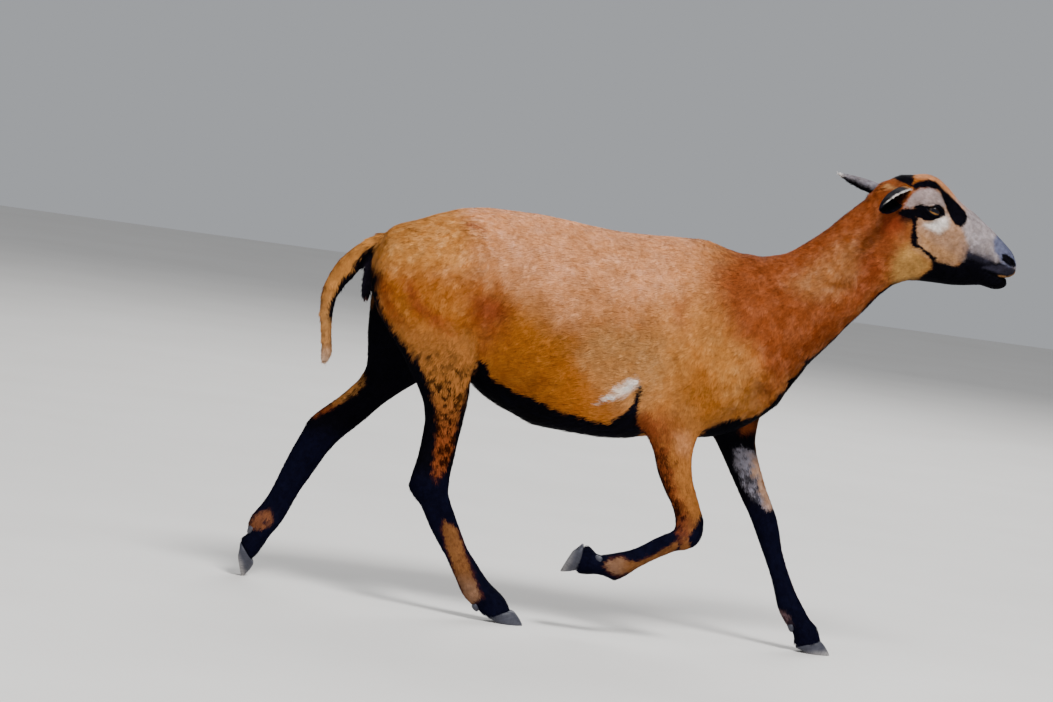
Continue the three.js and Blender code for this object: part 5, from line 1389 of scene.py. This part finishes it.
def coat_tone_group():
    """Varies a marking's colour in clumps and single hairs, by one amount for each tuft."""
    name = "Coat tone"
    if name in bpy.data.node_groups:
        return bpy.data.node_groups[name]
    group = bpy.data.node_groups.new(name, "ShaderNodeTree")
    for socket, side, kind in (("Marking", "INPUT", "Color"), ("Tint", "INPUT", "Float"),
                               ("Color", "OUTPUT", "Color"), ("Clump", "OUTPUT", "Float")):
        group.interface.new_socket(socket, in_out=side, socket_type="NodeSocket" + kind)
    begin, end = node(group, "NodeGroupInput"), node(group, "NodeGroupOutput")
    place = object_place(group)
    clump = noise(group, place, 190.0, 3.0, 0.6)
    patch = noise(group, place, 34.0, 2.0, 0.5)
    shade = maths(group, "MULTIPLY_ADD", clump, 0.55, 0.42)
    shade = maths(group, "MULTIPLY_ADD", patch, 0.35, shade)
    shade = maths(group, "ADD", shade, begin.outputs["Tint"])
    factor = channels(group, shade, maths(group, "MULTIPLY_ADD", shade, 1.12, -0.12),
                      maths(group, "MULTIPLY_ADD", shade, 1.25, -0.25))
    toned = mix(group, 1.0, begin.outputs["Marking"], factor, "MULTIPLY")
    group.links.new(toned, end.inputs["Color"])
    group.links.new(clump, end.inputs["Clump"])
    return group


def new_material(name, **constants):
    """A material, its tree and its shader, with the shader's own values set."""
    material = bpy.data.materials.new(name)
    material.use_nodes = True
    tree = material.node_tree
    surface = tree.nodes["Principled BSDF"]
    for socket, value in constants.items():
        surface.inputs[socket.replace("_", " ")].default_value = value
    return material, tree, surface


def feed(tree, surface, **sockets):
    """Links values to the shader's inputs."""
    for socket, value in sockets.items():
        tree.links.new(value, surface.inputs[socket.replace("_", " ")])


def bump(tree, height, strength, depth):
    return node(tree, "ShaderNodeBump",
                {"Height": height, "Strength": strength, "Distance": depth}).outputs[0]


def toned_markings(tree):
    """The coat's tone on the markings of a piece."""
    tone = node(tree, "ShaderNodeGroup", node_tree=coat_tone_group())
    feed(tree, tone, Marking=attribute(tree, "Markings", "Color"))
    return tone


def streak_height(tree):
    """Fine streaks along the lie of the coat, from noise drawn out four ways."""
    place = object_place(tree)
    lie = attribute(tree, "Lie", "Vector")
    total = weights = None
    for turn, way in ((0, (1, 0, 0)), (0, (0, 0, 1)), (45, (DIAGONAL, 0, DIAGONAL)),
                      (-45, (DIAGONAL, 0, -DIAGONAL))):
        along = node(tree, "ShaderNodeVectorMath", {0: lie, 1: way}, operation="DOT_PRODUCT")
        weight = maths(tree, "POWER", maths(tree, "ABSOLUTE", along.outputs["Value"]), 6.0)
        stretch = (110, 900, 900) if way[0] else (900, 900, 110)
        drawn_out = stretched(tree, place, stretch, (0, math.radians(turn), 0))
        height = maths(tree, "MULTIPLY", noise(tree, drawn_out, 1.0, 2.0, 0.6), weight)
        total = height if total is None else maths(tree, "ADD", total, height)
        weights = weight if weights is None else maths(tree, "ADD", weights, weight)
    return maths(tree, "DIVIDE", total, maths(tree, "MAXIMUM", weights, 0.01))


def skin_material():
    material, tree, surface = new_material("skin under the coat", IOR=1.2,
                                           Specular_IOR_Level=0.12)
    tone = toned_markings(tree)
    bare = attribute(tree, "Bare")
    streaks = streak_height(tree)
    shade = ramp(tree, streaks, 0.3, 0.7, 0.9, 1.15)
    haired = mix(tree, 1.0, tone.outputs["Color"], channels(tree, shade, shade, shade), "MULTIPLY")
    pores = noise(tree, object_place(tree), 700.0, 2.0)
    height = maths(tree, "MULTIPLY", streaks, ramp(tree, bare, 0.0, 1.0, 1.0, 0.1))
    height = maths(tree, "MULTIPLY_ADD", maths(tree, "MULTIPLY", pores, bare), 0.25, height)
    feed(tree, surface, Base_Color=mix(tree, bare, haired, tone.outputs["Color"]),
         Roughness=ramp(tree, bare, 0.0, 1.0, 0.72, 0.42), Normal=bump(tree, height, 0.7, 0.0009))
    return material


def hair_material():
    material, tree, surface = new_material("coat of hair", IOR=1.12, Specular_IOR_Level=0.05)
    tone = toned_markings(tree)
    feed(tree, tone, Tint=attribute(tree, "Tint"))
    tip = ramp(tree, attribute(tree, "Tip"), 0.0, 1.0, 0.8, 1.16)
    colour = mix(tree, 1.0, tone.outputs["Color"], channels(tree, tip, tip, tip), "MULTIPLY")
    feed(tree, surface, Base_Color=colour,
         Roughness=ramp(tree, tone.outputs["Clump"], 0.3, 0.7, 0.44, 0.6))
    return material


def eye_material(look):
    material, tree, surface = new_material("eye", Coat_Weight=0.35, Coat_Roughness=0.02,
                                           Coat_IOR=1.36, Specular_IOR_Level=0.05)
    gaze = node(tree, "ShaderNodeSeparateXYZ", {0: attribute(tree, "Gaze", "Vector")})
    forwards, up = gaze.outputs[1], gaze.outputs[2]
    around = maths(tree, "ARCTAN2", up, forwards)
    radius = vector_length(tree, forwards, up)
    rays = noise(tree, node(tree, "ShaderNodeCombineXYZ",
                            {0: maths(tree, "MULTIPLY", around, 7.0),
                             1: maths(tree, "MULTIPLY", radius, 0.25)}).outputs[0], 1.6, 3.0)
    iris = mix(tree, rays, rgba(look.iris, 0.35), rgba(look.iris))
    # painted shade: the upper iris is darkened as under the lid, so that only the lower iris shows
    # amber
    low = ramp(tree, up, -1.4, -3.4)
    iris = mix(tree, low, rgba((0.010, 0.006, 0.006)), iris)
    wide = maths(tree, "MAXIMUM", maths(tree, "SUBTRACT", maths(tree, "ABSOLUTE", forwards), 3.4),
                 0.0)
    pupil = vector_length(tree, wide, up)
    colour = mix(tree, ramp(tree, pupil, 2.1, 2.7), rgba((0.004, 0.005, 0.009)), iris)
    colour = mix(tree, ramp(tree, radius, 7.6, 8.8), colour, rgba((0.012, 0.007, 0.005)))
    white = mix(tree, noise(tree, attribute(tree, "Gaze", "Vector"), 0.6, 3.0),
                rgba((0.045, 0.026, 0.02)), rgba((0.018, 0.010, 0.009)))
    colour = mix(tree, ramp(tree, radius, 9.3, 10.6), colour, white)
    feed(tree, surface, Base_Color=colour, Roughness=ramp(tree, rays, 0.2, 0.8, 0.10, 0.16))
    return material


def horn_material(look):
    """Slate horn with growth rings, worn pale towards the ground."""
    material, tree, surface = new_material("horn", Specular_IOR_Level=0.4)
    wall = attribute(tree, "Wall", "Vector")
    x, _, z = node(tree, "ShaderNodeSeparateXYZ", {0: wall}).outputs
    wander = noise(tree, wall, 0.12, 2.0)
    height = maths(tree, "MULTIPLY_ADD", wander, 5.0, maths(tree, "MULTIPLY_ADD", x, -0.35, z))
    rings = noise(tree, node(tree, "ShaderNodeCombineXYZ",
                             {0: 3.0, 2: height}).outputs[0], 0.55, 3.0, 0.6)
    grain = noise(tree, stretched(tree, wall, (1.4, 1.4, 0.14)), 1.0, 3.0)
    streaks = noise(tree, stretched(tree, wall, (0.55, 0.55, 0.05)), 1.0, 4.0)
    worn = ramp(tree, maths(tree, "MULTIPLY_ADD", x, -0.2,
                            maths(tree, "MULTIPLY_ADD", wander, 5.0, z)), 6.0, -9.0)
    worn = maths(tree, "MULTIPLY", worn, ramp(tree, x, 2.0, 16.0, 0.15, 1.0))
    worn = maths(tree, "MULTIPLY", worn, attribute(tree, "Pale"))
    colour = mix(tree, rings, rgba(look.horn, 0.6), rgba(look.horn, 1.5))
    for amount, tint in ((maths(tree, "MULTIPLY", worn, 0.95), rgba(look.horn_tip)),
                         (ramp(tree, streaks, 0.42, 0.68, 0.0, 0.6), rgba(look.horn, 0.45)),
                         (maths(tree, "MULTIPLY", grain, 0.4), rgba(look.horn, 0.7))):
        colour = mix(tree, amount, colour, tint)
    relief = maths(tree, "MULTIPLY_ADD", grain, 0.35, rings)
    feed(tree, surface, Base_Color=colour, Roughness=ramp(tree, grain, 0.2, 0.8, 0.42, 0.66),
         Normal=bump(tree, relief, 0.6, 0.0008))
    return material


# ---------------------------------------------------------------- tufts of hair

TUFT_KINDS, STRANDS = 9, 4
PIECE_TRIANGLES = 199000
MAP_EDGE = 0.002                 # a root's nearest place to the edge of the skin's map


def tuft_shape(rng):
    """One tuft, a unit long: a few thin bent strands that lie side by side."""
    points, faces, tips, patches = [], [], [], []
    for i in range(STRANDS):
        y = (i - (STRANDS - 1) / 2) * 0.95 + rng.uniform(-0.35, 0.35)
        x = rng.uniform(-0.3, 0.25)
        length = rng.uniform(0.75, 1.1)
        swing = rng.uniform(-0.9, 0.9)
        width = rng.uniform(0.85, 1.2) / 2
        roll = rng.uniform(-0.3, 0.3)
        crown = rng.uniform(0.3, 0.8)
        waist = rng.uniform(0.36, 0.5)
        for along, half, height, bend in ((0, 0, -0.5, 0), (waist, -1, crown, 0.25),
                                          (waist, 1, crown, 0.25), (1, 0, 0.1, 1)):
            w = half * width
            points.append((x + along * length, y + bend * swing + w, height + roll * w))
            tips.append(along)
            patches.append((min(max((x + along) / 1.6, 0), 1) - 0.5, (y + w) / STRANDS * 0.9, 0))
        a = 4 * i
        faces += [(a, a + 1, a + 2), (a + 1, a + 3, a + 2)]
    return points, faces, tips, patches


def tuft_collection(seed):
    rng = np.random.default_rng(seed)
    collection = bpy.data.collections.new("Tuft shapes")
    for i in range(TUFT_KINDS):
        points, faces, tips, patches = tuft_shape(rng)
        mesh = bpy.data.meshes.new(f"tuft shape {i}")
        mesh.from_pydata(points, [], faces)
        mesh.polygons.foreach_set("use_smooth", np.ones(len(faces), dtype=bool))
        set_attributes(mesh, Tip=tips, Patch=patches)
        collection.objects.link(bpy.data.objects.new(f"tuft shape {i}", mesh))
    return collection


def coat_tree():
    """Geometry nodes that set a tuft on each root and give it its patch of the skin's map."""
    tree = bpy.data.node_groups.new("Coat of tufts", "GeometryNodeTree")
    for name, kind in (("Geometry", "Geometry"), ("Tuft shapes", "Collection"),
                       ("Fullness", "Float"), ("Patch size", "Float"), ("Seed", "Int"),
                       ("Finish", "Material")):
        tree.interface.new_socket(name, in_out="INPUT", socket_type="NodeSocket" + kind)
    tree.interface.new_socket("Geometry", in_out="OUTPUT", socket_type="NodeSocketGeometry")
    begin, end = node(tree, "NodeGroupInput"), node(tree, "NodeGroupOutput")
    shapes = node(tree, "GeometryNodeCollectionInfo",
                  {"Collection": begin.outputs["Tuft shapes"], "Separate Children": True,
                   "Reset Children": True})

    def stored(name):
        return node(tree, "GeometryNodeInputNamedAttribute", {"Name": name},
                    data_type="FLOAT_VECTOR").outputs["Attribute"]

    kind = node(tree, "FunctionNodeRandomValue",
                {"Min": 0, "Max": TUFT_KINDS - 1, "Seed": begin.outputs["Seed"]}, data_type="INT")
    size = node(tree, "ShaderNodeVectorMath",
                {0: stored("Size"), "Scale": begin.outputs["Fullness"]}, operation="SCALE")
    turn = node(tree, "FunctionNodeEulerToRotation", {"Euler": stored("Turn")})
    tufts = node(tree, "GeometryNodeInstanceOnPoints",
                 {"Points": begin.outputs["Geometry"], "Instance": shapes.outputs[0],
                  "Pick Instance": True, "Instance Index": kind.outputs[2],
                  "Rotation": turn.outputs[0], "Scale": size.outputs[0]})
    solid = node(tree, "GeometryNodeRealizeInstances", {"Geometry": tufts.outputs[0]})
    patch = node(tree, "ShaderNodeVectorMath",
                 {0: stored("Patch"), "Scale": begin.outputs["Patch size"]}, operation="SCALE")
    place = node(tree, "ShaderNodeVectorMath",
                 {0: stored("Root"), 1: patch.outputs[0]}, operation="ADD")
    mapped = node(tree, "GeometryNodeStoreNamedAttribute",
                  {"Geometry": solid.outputs[0], "Name": UV_NAME, "Value": place.outputs[0]},
                  data_type="FLOAT2", domain="CORNER")
    finished = node(tree, "GeometryNodeSetMaterial",
                    {"Geometry": mapped.outputs[0], "Material": begin.outputs["Finish"]})
    tree.links.new(finished.outputs[0], end.inputs[0])
    return tree


def turned_towards(a, b, angle):
    return a * np.cos(angle) + b * np.sin(angle)


def read(items, name, width, kind=np.float32):
    """One property of many items as an array, with a row for each item."""
    values = np.empty(len(items) * width, dtype=kind)
    items.foreach_get(name, values)
    return values.reshape(-1, width) if width > 1 else values


def hair_roots(skin, look, rng):
    """Roots spread over the skin, with everything a tuft needs to know about its place."""
    mesh = skin.data
    mesh.calc_loop_triangles()
    corners, loops = (read(mesh.loop_triangles, name, 3, np.int32)
                      for name in ("vertices", "loops"))
    points, normals = (read(mesh.vertices, name, 3).astype(float) for name in ("co", "normal"))
    lie, hair = (read(mesh.attributes[name].data, "vector", 3) for name in ("Lie", "Hair"))
    density, ear = (read(mesh.attributes[name].data, "value", 1) for name in ("Density", "Ear"))
    painted_on = read(mesh.attributes["Markings"].data, "color", 4)[:, :3]
    uv = read(mesh.uv_layers[UV_NAME].data, "uv", 2)
    a, b, c = (points[corners[:, i]] for i in range(3))
    area = np.linalg.norm(np.cross(b - a, c - a), axis=1) / 2 / MM ** 2
    wanted = area * density[corners].mean(axis=1) * look.tuft_density
    count = np.floor(wanted + rng.random(len(wanted))).astype(int)
    face = np.repeat(np.arange(len(count)), count)
    r, s = rng.random((2, len(face)))
    r = np.sqrt(r)
    weight = np.stack([1 - r, r * (1 - s), r * s], axis=1)[:, :, None]
    pick = lambda values: (values[corners[face]] * weight).sum(axis=1)
    root = pick(points)
    p = root / MM + (MID_X, 0, GROUND)
    normal = unit(pick(normals))
    length, width, rise = pick(hair).T
    on_ear = pick(ear[:, None])[:, 0] > 0.5
    colour = np.where(on_ear[:, None], pick(painted_on), markings(p))
    way = pick(lie)
    way = unit(way - (way * normal).sum(axis=1)[:, None] * normal)
    side = np.cross(normal, way)
    calm = smoothstep(560, 520, p[:, 0]) * smoothstep(300, 360, p[:, 2])
    swirl = np.radians(rng.normal(0, 9, len(p)) + (8 + 10 * calm) * value_noise(p, 30, 40)
                       + (6 + 12 * calm) * value_noise(p, 10, 41))
    way = turned_towards(way, side, swirl[:, None])
    side = np.cross(normal, way)
    rise = np.radians(rise * look.coat_rise * rng.uniform(0.5, 1.5, len(p)))[:, None]
    way, up = turned_towards(way, normal, rise), turned_towards(normal, -way, rise)
    turn = np.stack([np.arctan2(side[:, 2], up[:, 2]), -np.arcsin(np.clip(way[:, 2], -1, 1)),
                     np.arctan2(way[:, 1], way[:, 0])], axis=1)
    length = length * look.hair_length * rng.uniform(0.75, 1.2, len(p))
    size = np.stack([length, width * look.strand_width, 0.05 * length], axis=1) * MM
    tint = rng.normal(0, 0.06, len(p))
    tint = tint + 0.05 * value_noise(p, 12, 42) + 0.12 * value_noise(p, 4.5, 43)
    on_neck = smoothstep(330, 400, p[:, 0]), smoothstep(560, 500, p[:, 0])
    tint += 0.08 * value_noise(p, 3.5, 44) * on_neck[0] * on_neck[1]
    uv_root = np.clip((uv[loops[face]] * weight).sum(axis=1), MAP_EDGE, 1 - MAP_EDGE)
    return {
        "place": p, "ear": on_ear, "root": root, "Turn": turn, "Size": size,
        "Root": np.concatenate([uv_root, np.zeros((len(p), 1))], axis=1),
        "Markings": colour, "Tint": tint,
    }


def region_masks(p, on_ear):
    """Which piece of the coat each root belongs to, and a slot name for each piece."""
    x, y, z = p.T
    head = on_ear | ((x > 478) & (z > 555))
    neck = ~head & (z > 400) & (x + 0.55 * (z - 500) > 357)
    hind_leg = ~head & (x < 20) & (z < 322)
    hind_leg |= (x < -150) & (z < 345) & (y > 0)
    fore_leg = ~head & (x > 100) & (z < 300) & (np.abs(y) > 30)
    fore_leg |= ~head & (x > 238) & (z < 318) & (np.abs(y) > 34)
    rest = ~(head | neck | hind_leg | fore_leg)
    rump = rest & (x < -60)
    shoulder = rest & (x > 190)
    barrel = rest & ~rump & ~shoulder
    pieces = {}
    for side, half in (("right", y < 0), ("left", y >= 0)):
        for name, mask, slot in (
                ("head", head, "face_coat"), ("neck", neck, "brown_coat"),
                ("shoulder", shoulder, "brown_coat"), ("barrel", barrel, "brown_coat"),
                ("rump", rump, "brown_coat"), ("hind_leg", hind_leg, "leg_coat"),
                ("fore_leg", fore_leg, "leg_coat")):
            pieces[f"coat_{name}_{side}"] = mask & half, slot
    return pieces


def tufted_piece(name, roots, keep, tree, settings):
    """One piece of the coat as a plain mesh."""
    points = bpy.data.meshes.new(name + " roots")
    points.from_pydata(roots["root"][keep].tolist(), [], [])
    set_attributes(points, **{key: roots[key][keep]
                              for key in ("Turn", "Size", "Root", "Markings", "Tint")})
    base = placed(name + " roots", points)
    modifier = base.modifiers.new("Coat", "NODES")
    modifier.node_group = tree
    for item in tree.interface.items_tree:
        if item.item_type == "SOCKET" and item.in_out == "INPUT" and item.name in settings:
            modifier[item.identifier] = settings[item.name]
    evaluated = base.evaluated_get(bpy.context.evaluated_depsgraph_get())
    mesh = bpy.data.meshes.new_from_object(evaluated)
    mesh.name = name
    base.modifiers.clear()
    bpy.data.objects.remove(base)
    bpy.data.meshes.remove(points)
    for key in ("Turn", "Size", "Root", "Patch"):
        if key in mesh.attributes:
            mesh.attributes.remove(mesh.attributes[key])
    mesh.uv_layers[UV_NAME].active_render = True
    if not 0 < len(mesh.polygons) < PIECE_TRIANGLES:
        raise RuntimeError(f"{name} has {len(mesh.polygons)} triangles")
    return placed(name, mesh)


# ---------------------------------------------------------------- settings and operators

SKIN_LINES = (
    stepped((-402, 478, 5.3), (478, 545, 2.4), (545, 581, 1.15), (581, 655, 2.1),
            (655, 702, 1.3)),
    stepped((-128, -58, 5.3), (-58, -40, 1.9), (-40, -20, 2.8), (-20, 20, 3.3), (20, 40, 2.8),
            (40, 58, 1.9), (58, 128, 5.3)),
    stepped((-6, 562, 5.3), (562, 590, 2.3), (590, 634, 1.3), (634, 662, 2.3), (662, 696, 1.15),
            (696, 740, 2.3)),
)
FLOOR_HALF = 9000.0
FLOOR_DARK, FLOOR_PALE = (0.62, 0.60, 0.57), (0.70, 0.685, 0.66)
SKY, SKY_STRENGTH = (0.86, 0.89, 0.94), 0.45
LIT_MIDDLE = (0.05, 0, 0.4)      # the lights' aim, in the row's frame as their places are
LIGHTS = (                       # name, place, size and power
    ("key light", (1.4, -2.6, 4.6), 1.5, 420),
    ("fill light", (-3.6, -3.0, 2.4), 3.0, 60),
    ("back light", (0.8, 4.2, 3.4), 3.0, 180),
)
CAMERA_AT = (-0.1532, -6.0, 0.840)
CAMERA_TIP, CAMERA_ROLL = 4.23, 7.8
CAMERA_LENS, SENSOR_WIDTH = 139.35, 36
CAMERA_FAR = 60                  # metres to the camera's far limit
FLESH_NODES = [name for name in frame["nodes"]
               if not any(part in name for part in ("hoof", "dewclaw", "eye_"))]


class SheepLook(bpy.types.PropertyGroup):
    """Sizes and colours of the sheep's looks."""

    hair_length: FloatProperty(
        name="Hair length", description="Length of the hair against its own length on each part",
        default=1.0, min=0.3, max=2.0)
    strand_width: FloatProperty(
        name="Strand width", description="Width of the strands against their own width",
        default=1.0, min=0.3, max=2.0)
    coat_rise: FloatProperty(
        name="Coat rise", description="How far the tufts stand off the skin",
        default=1.0, min=0.0, max=3.0)
    tuft_density: FloatProperty(
        name="Tuft density", description="Number of tufts against the full coat's",
        default=1.0, min=0.01, max=1.2)
    patch_size: FloatProperty(
        name="Patch size", description="Breadth of a tuft's patch on the skin's map",
        default=0.003, min=0.001, max=0.01)
    coat_seed: IntProperty(
        name="Coat seed", description="Seed of the coat's chance", default=11, min=0)
    iris: FloatVectorProperty(
        name="Iris", description="Colour of the lower iris", subtype="COLOR",
        default=(0.36, 0.16, 0.04), min=0.0, max=1.0)
    horn: FloatVectorProperty(
        name="Horn", description="Colour of the hoof wall", subtype="COLOR",
        default=(0.030, 0.031, 0.046), min=0.0, max=1.0)
    horn_tip: FloatVectorProperty(
        name="Worn horn", description="Colour of the hoof near the ground", subtype="COLOR",
        default=(0.42, 0.395, 0.38), min=0.0, max=1.0)


class SHEEP_OT_skin(bpy.types.Operator):
    """Builds the skin as one closed surface with folds, lids and ears"""

    bl_idname = "sheep.skin"
    bl_label = "Skin"

    def execute(self, context):
        points, quads = surface_net(skin_field, SKIN_LINES)
        if not len(quads):
            raise RuntimeError("the skin came out empty")
        way, facts = coat_at(points)
        colour = markings(points)
        bare = self.bareness(points)
        facts[:, 3] *= 1 - bare
        parts = [(points, way, facts, colour, bare, np.zeros(len(points)))]
        for i, shape in enumerate(EARS):
            ear_points, faces, lie, marks = ear_shape(shape)
            quads = np.concatenate([quads, faces + sum(len(part[0]) for part in parts)])
            inner = marks[:, 2] * (np.abs(marks[:, 0]) < 0.9)
            own = EAR_HAIR + inner[:, None] * EAR_HAIR_INSIDE
            parts.append((ear_points, lie, own, ear_markings(ear_points, marks, i == 1),
                          0.3 * inner, np.ones(len(marks))))
        points, way, facts, colour, bare, ear = (np.concatenate(part) for part in zip(*parts))
        made = mesh_object("skin", points, quads.tolist())
        set_attributes(made.data, Markings=colour, Lie=way, Hair=facts[:, :3],
                       Density=facts[:, 3], Bare=bare, Ear=ear)
        made.data.materials.append(skin_material())
        self.unwrap(context, made)
        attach(made, "root")
        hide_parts(*FLESH_NODES)
        return {"FINISHED"}

    @staticmethod
    def bareness(points):
        """1 on lids, inside the nostrils and on the lips' edges, 0 on hair."""
        mirrored = onto_left(points)
        _, forwards, up = eye_place(mirrored, 1)
        near = np.linalg.norm(mirrored - EYE_AT, axis=1) < 24
        lids = near * smoothstep(2.6, 1.2, lid_opening(forwards, up))
        nostril = nostril_distance(mirrored) - 2.8
        lips = (points[:, 0] > 664) * groove(points[:, 2] - mouth_height(points[:, 0]), 2.0)
        leather = smoothstep(689, 694, points[:, 0]) * smoothstep(604, 610, points[:, 2])
        flap = flap_amount(points) * smoothstep(FLAP_BARE + 6, FLAP_BARE - 6, points[:, 2])
        return np.clip(lids + smoothstep(2.0, 0.5, nostril) + lips + 0.85 * leather + flap, 0, 1)

    @staticmethod
    def unwrap(context, made):
        made.data.uv_layers.new(name=UV_NAME)
        context.view_layer.objects.active = made
        made.select_set(True)
        bpy.ops.object.mode_set(mode="EDIT")
        bpy.ops.mesh.select_all(action="SELECT")
        bpy.ops.uv.smart_project(angle_limit=1.15, island_margin=0.004, scale_to_bounds=True)
        bpy.ops.object.mode_set(mode="OBJECT")
        made.select_set(False)


class SHEEP_OT_eyes(bpy.types.Operator):
    """Builds both eyeballs"""

    bl_idname = "sheep.eyes"
    bl_label = "Eyes"

    def execute(self, context):
        points, faces, gaze = joined([ball_shape(side) for side in (-1, 1)])
        made = mesh_object("eyes", points, faces)
        set_attributes(made.data, Gaze=gaze)
        made.data.materials.append(eye_material(context.scene.sheep_look))
        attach(made, "root")
        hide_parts("eye_left", "eye_right")
        return {"FINISHED"}


class SHEEP_OT_hooves(bpy.types.Operator):
    """Builds the hooves and the dewclaws"""

    bl_idname = "sheep.hooves"
    bl_label = "Hooves and dewclaws"

    def execute(self, context):
        finish = horn_material(context.scene.sheep_look)
        for name, shape, part in (("hooves", claw_shape, "_hoof_"),
                                  ("dewclaws", dewclaw_shape, "_dewclaw_")):
            shapes = [shape(foot, outwards) for foot in FEET for outwards in (1, -1)]
            points, faces, wall = joined(shapes)
            made = mesh_object(name, points, faces)
            set_attributes(made.data, Wall=wall[:, :3], Pale=wall[:, 3])
            made.data.materials.append(finish)
            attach(made, "root")
            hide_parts(*(n for n in frame["nodes"] if part in n))
        return {"FINISHED"}


class SHEEP_OT_coat(bpy.types.Operator):
    """Grows the coat on the skin, in tufts that follow its lie"""

    bl_idname = "sheep.coat"
    bl_label = "Coat"

    def execute(self, context):
        look = context.scene.sheep_look
        rng = np.random.default_rng(look.coat_seed)
        roots = hair_roots(bpy.data.objects["skin"], look, rng)
        shapes = tuft_collection(look.coat_seed)
        tree = coat_tree()
        settings = {"Tuft shapes": shapes, "Patch size": look.patch_size,
                    "Seed": look.coat_seed, "Fullness": 1.0, "Finish": hair_material()}
        for name, (mask, slot) in region_masks(roots["place"], roots["ear"]).items():
            made = tufted_piece(name, roots, mask, tree, settings)
            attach(made, "root")
        for shape in list(shapes.objects):
            mesh = shape.data
            bpy.data.objects.remove(shape)
            bpy.data.meshes.remove(mesh)
        bpy.data.collections.remove(shapes)
        bpy.data.node_groups.remove(tree)
        return {"FINISHED"}


class SHEEP_OT_stage(bpy.types.Operator):
    """Sets the pale floor, the soft lights and the camera"""

    bl_idname = "sheep.stage"
    bl_label = "Stage"

    def execute(self, context):
        corners = [(x, y, GROUND) for x, y in ((-1, -1), (1, -1), (1, 1), (-1, 1))]
        floor = mesh_object("floor", np.array(corners) * (FLOOR_HALF, FLOOR_HALF, 1),
                            [[0, 1, 2, 3]])
        material, tree, surface = new_material("pale floor", Roughness=0.85)
        feed(tree, surface, Base_Color=mix(tree, noise(tree, object_place(tree), 3.0, 4.0),
                                           rgba(FLOOR_DARK), rgba(FLOOR_PALE)))
        floor.data.materials.append(material)
        world = bpy.data.worlds.new("studio")
        context.scene.world = world
        world.use_nodes = True
        background = world.node_tree.nodes["Background"]
        background.inputs["Color"].default_value = rgba(SKY)
        background.inputs["Strength"].default_value = SKY_STRENGTH
        for name, at, size, power in LIGHTS:
            light = bpy.data.lights.new(name, "AREA")
            light.size, light.energy = size, power
            lamp = placed(name, light)
            lamp.location = at
            way = Vector(LIT_MIDDLE) - Vector(at)
            lamp.rotation_euler = way.to_track_quat("-Z", "Y").to_euler()
        context.scene.camera = self.camera()
        return {"FINISHED"}

    @staticmethod
    def camera():
        """A long lens from the right, tipped down a little and rolled."""
        tip, roll = math.radians(CAMERA_TIP), math.radians(CAMERA_ROLL)
        ahead = Vector((0, math.cos(tip), -math.sin(tip)))
        level = Vector((1, 0, 0))
        upright = level.cross(ahead)
        right = level * math.cos(roll) + upright * math.sin(roll)
        up = upright * math.cos(roll) - level * math.sin(roll)
        data = bpy.data.cameras.new("camera")
        data.sensor_width, data.lens, data.clip_end = SENSOR_WIDTH, CAMERA_LENS, CAMERA_FAR
        made = placed("camera", data)
        made.matrix_world = Matrix.Translation(CAMERA_AT) @ Matrix(
            (right, up, -ahead)).transposed().to_4x4()
        return made


OPERATORS = (SHEEP_OT_skin, SHEEP_OT_eyes, SHEEP_OT_hooves, SHEEP_OT_coat, SHEEP_OT_stage)


class SHEEP_PT_panel(bpy.types.Panel):
    """Lists the sheep's settings and its pieces"""

    bl_idname = "SHEEP_PT_panel"
    bl_label = "Cameroon hair sheep"
    bl_space_type = "VIEW_3D"
    bl_region_type = "UI"
    bl_category = "Sheep"

    def draw(self, context):
        for name in SheepLook.__annotations__:
            self.layout.prop(context.scene.sheep_look, name)
        for operator in OPERATORS:
            self.layout.operator(operator.bl_idname)


CLASSES = (SheepLook, *OPERATORS, SHEEP_PT_panel)


def register():
    for item in CLASSES:
        bpy.utils.register_class(item)
    bpy.types.Scene.sheep_look = PointerProperty(type=SheepLook)


def unregister():
    del bpy.types.Scene.sheep_look
    for item in reversed(CLASSES):
        bpy.utils.unregister_class(item)


def main():
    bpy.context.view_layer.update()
    register()
    for operator in OPERATORS:
        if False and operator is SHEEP_OT_coat:
            continue
        getattr(bpy.ops.sheep, operator.bl_idname.split(".")[1])()


if __name__ == "__main__":
    main()
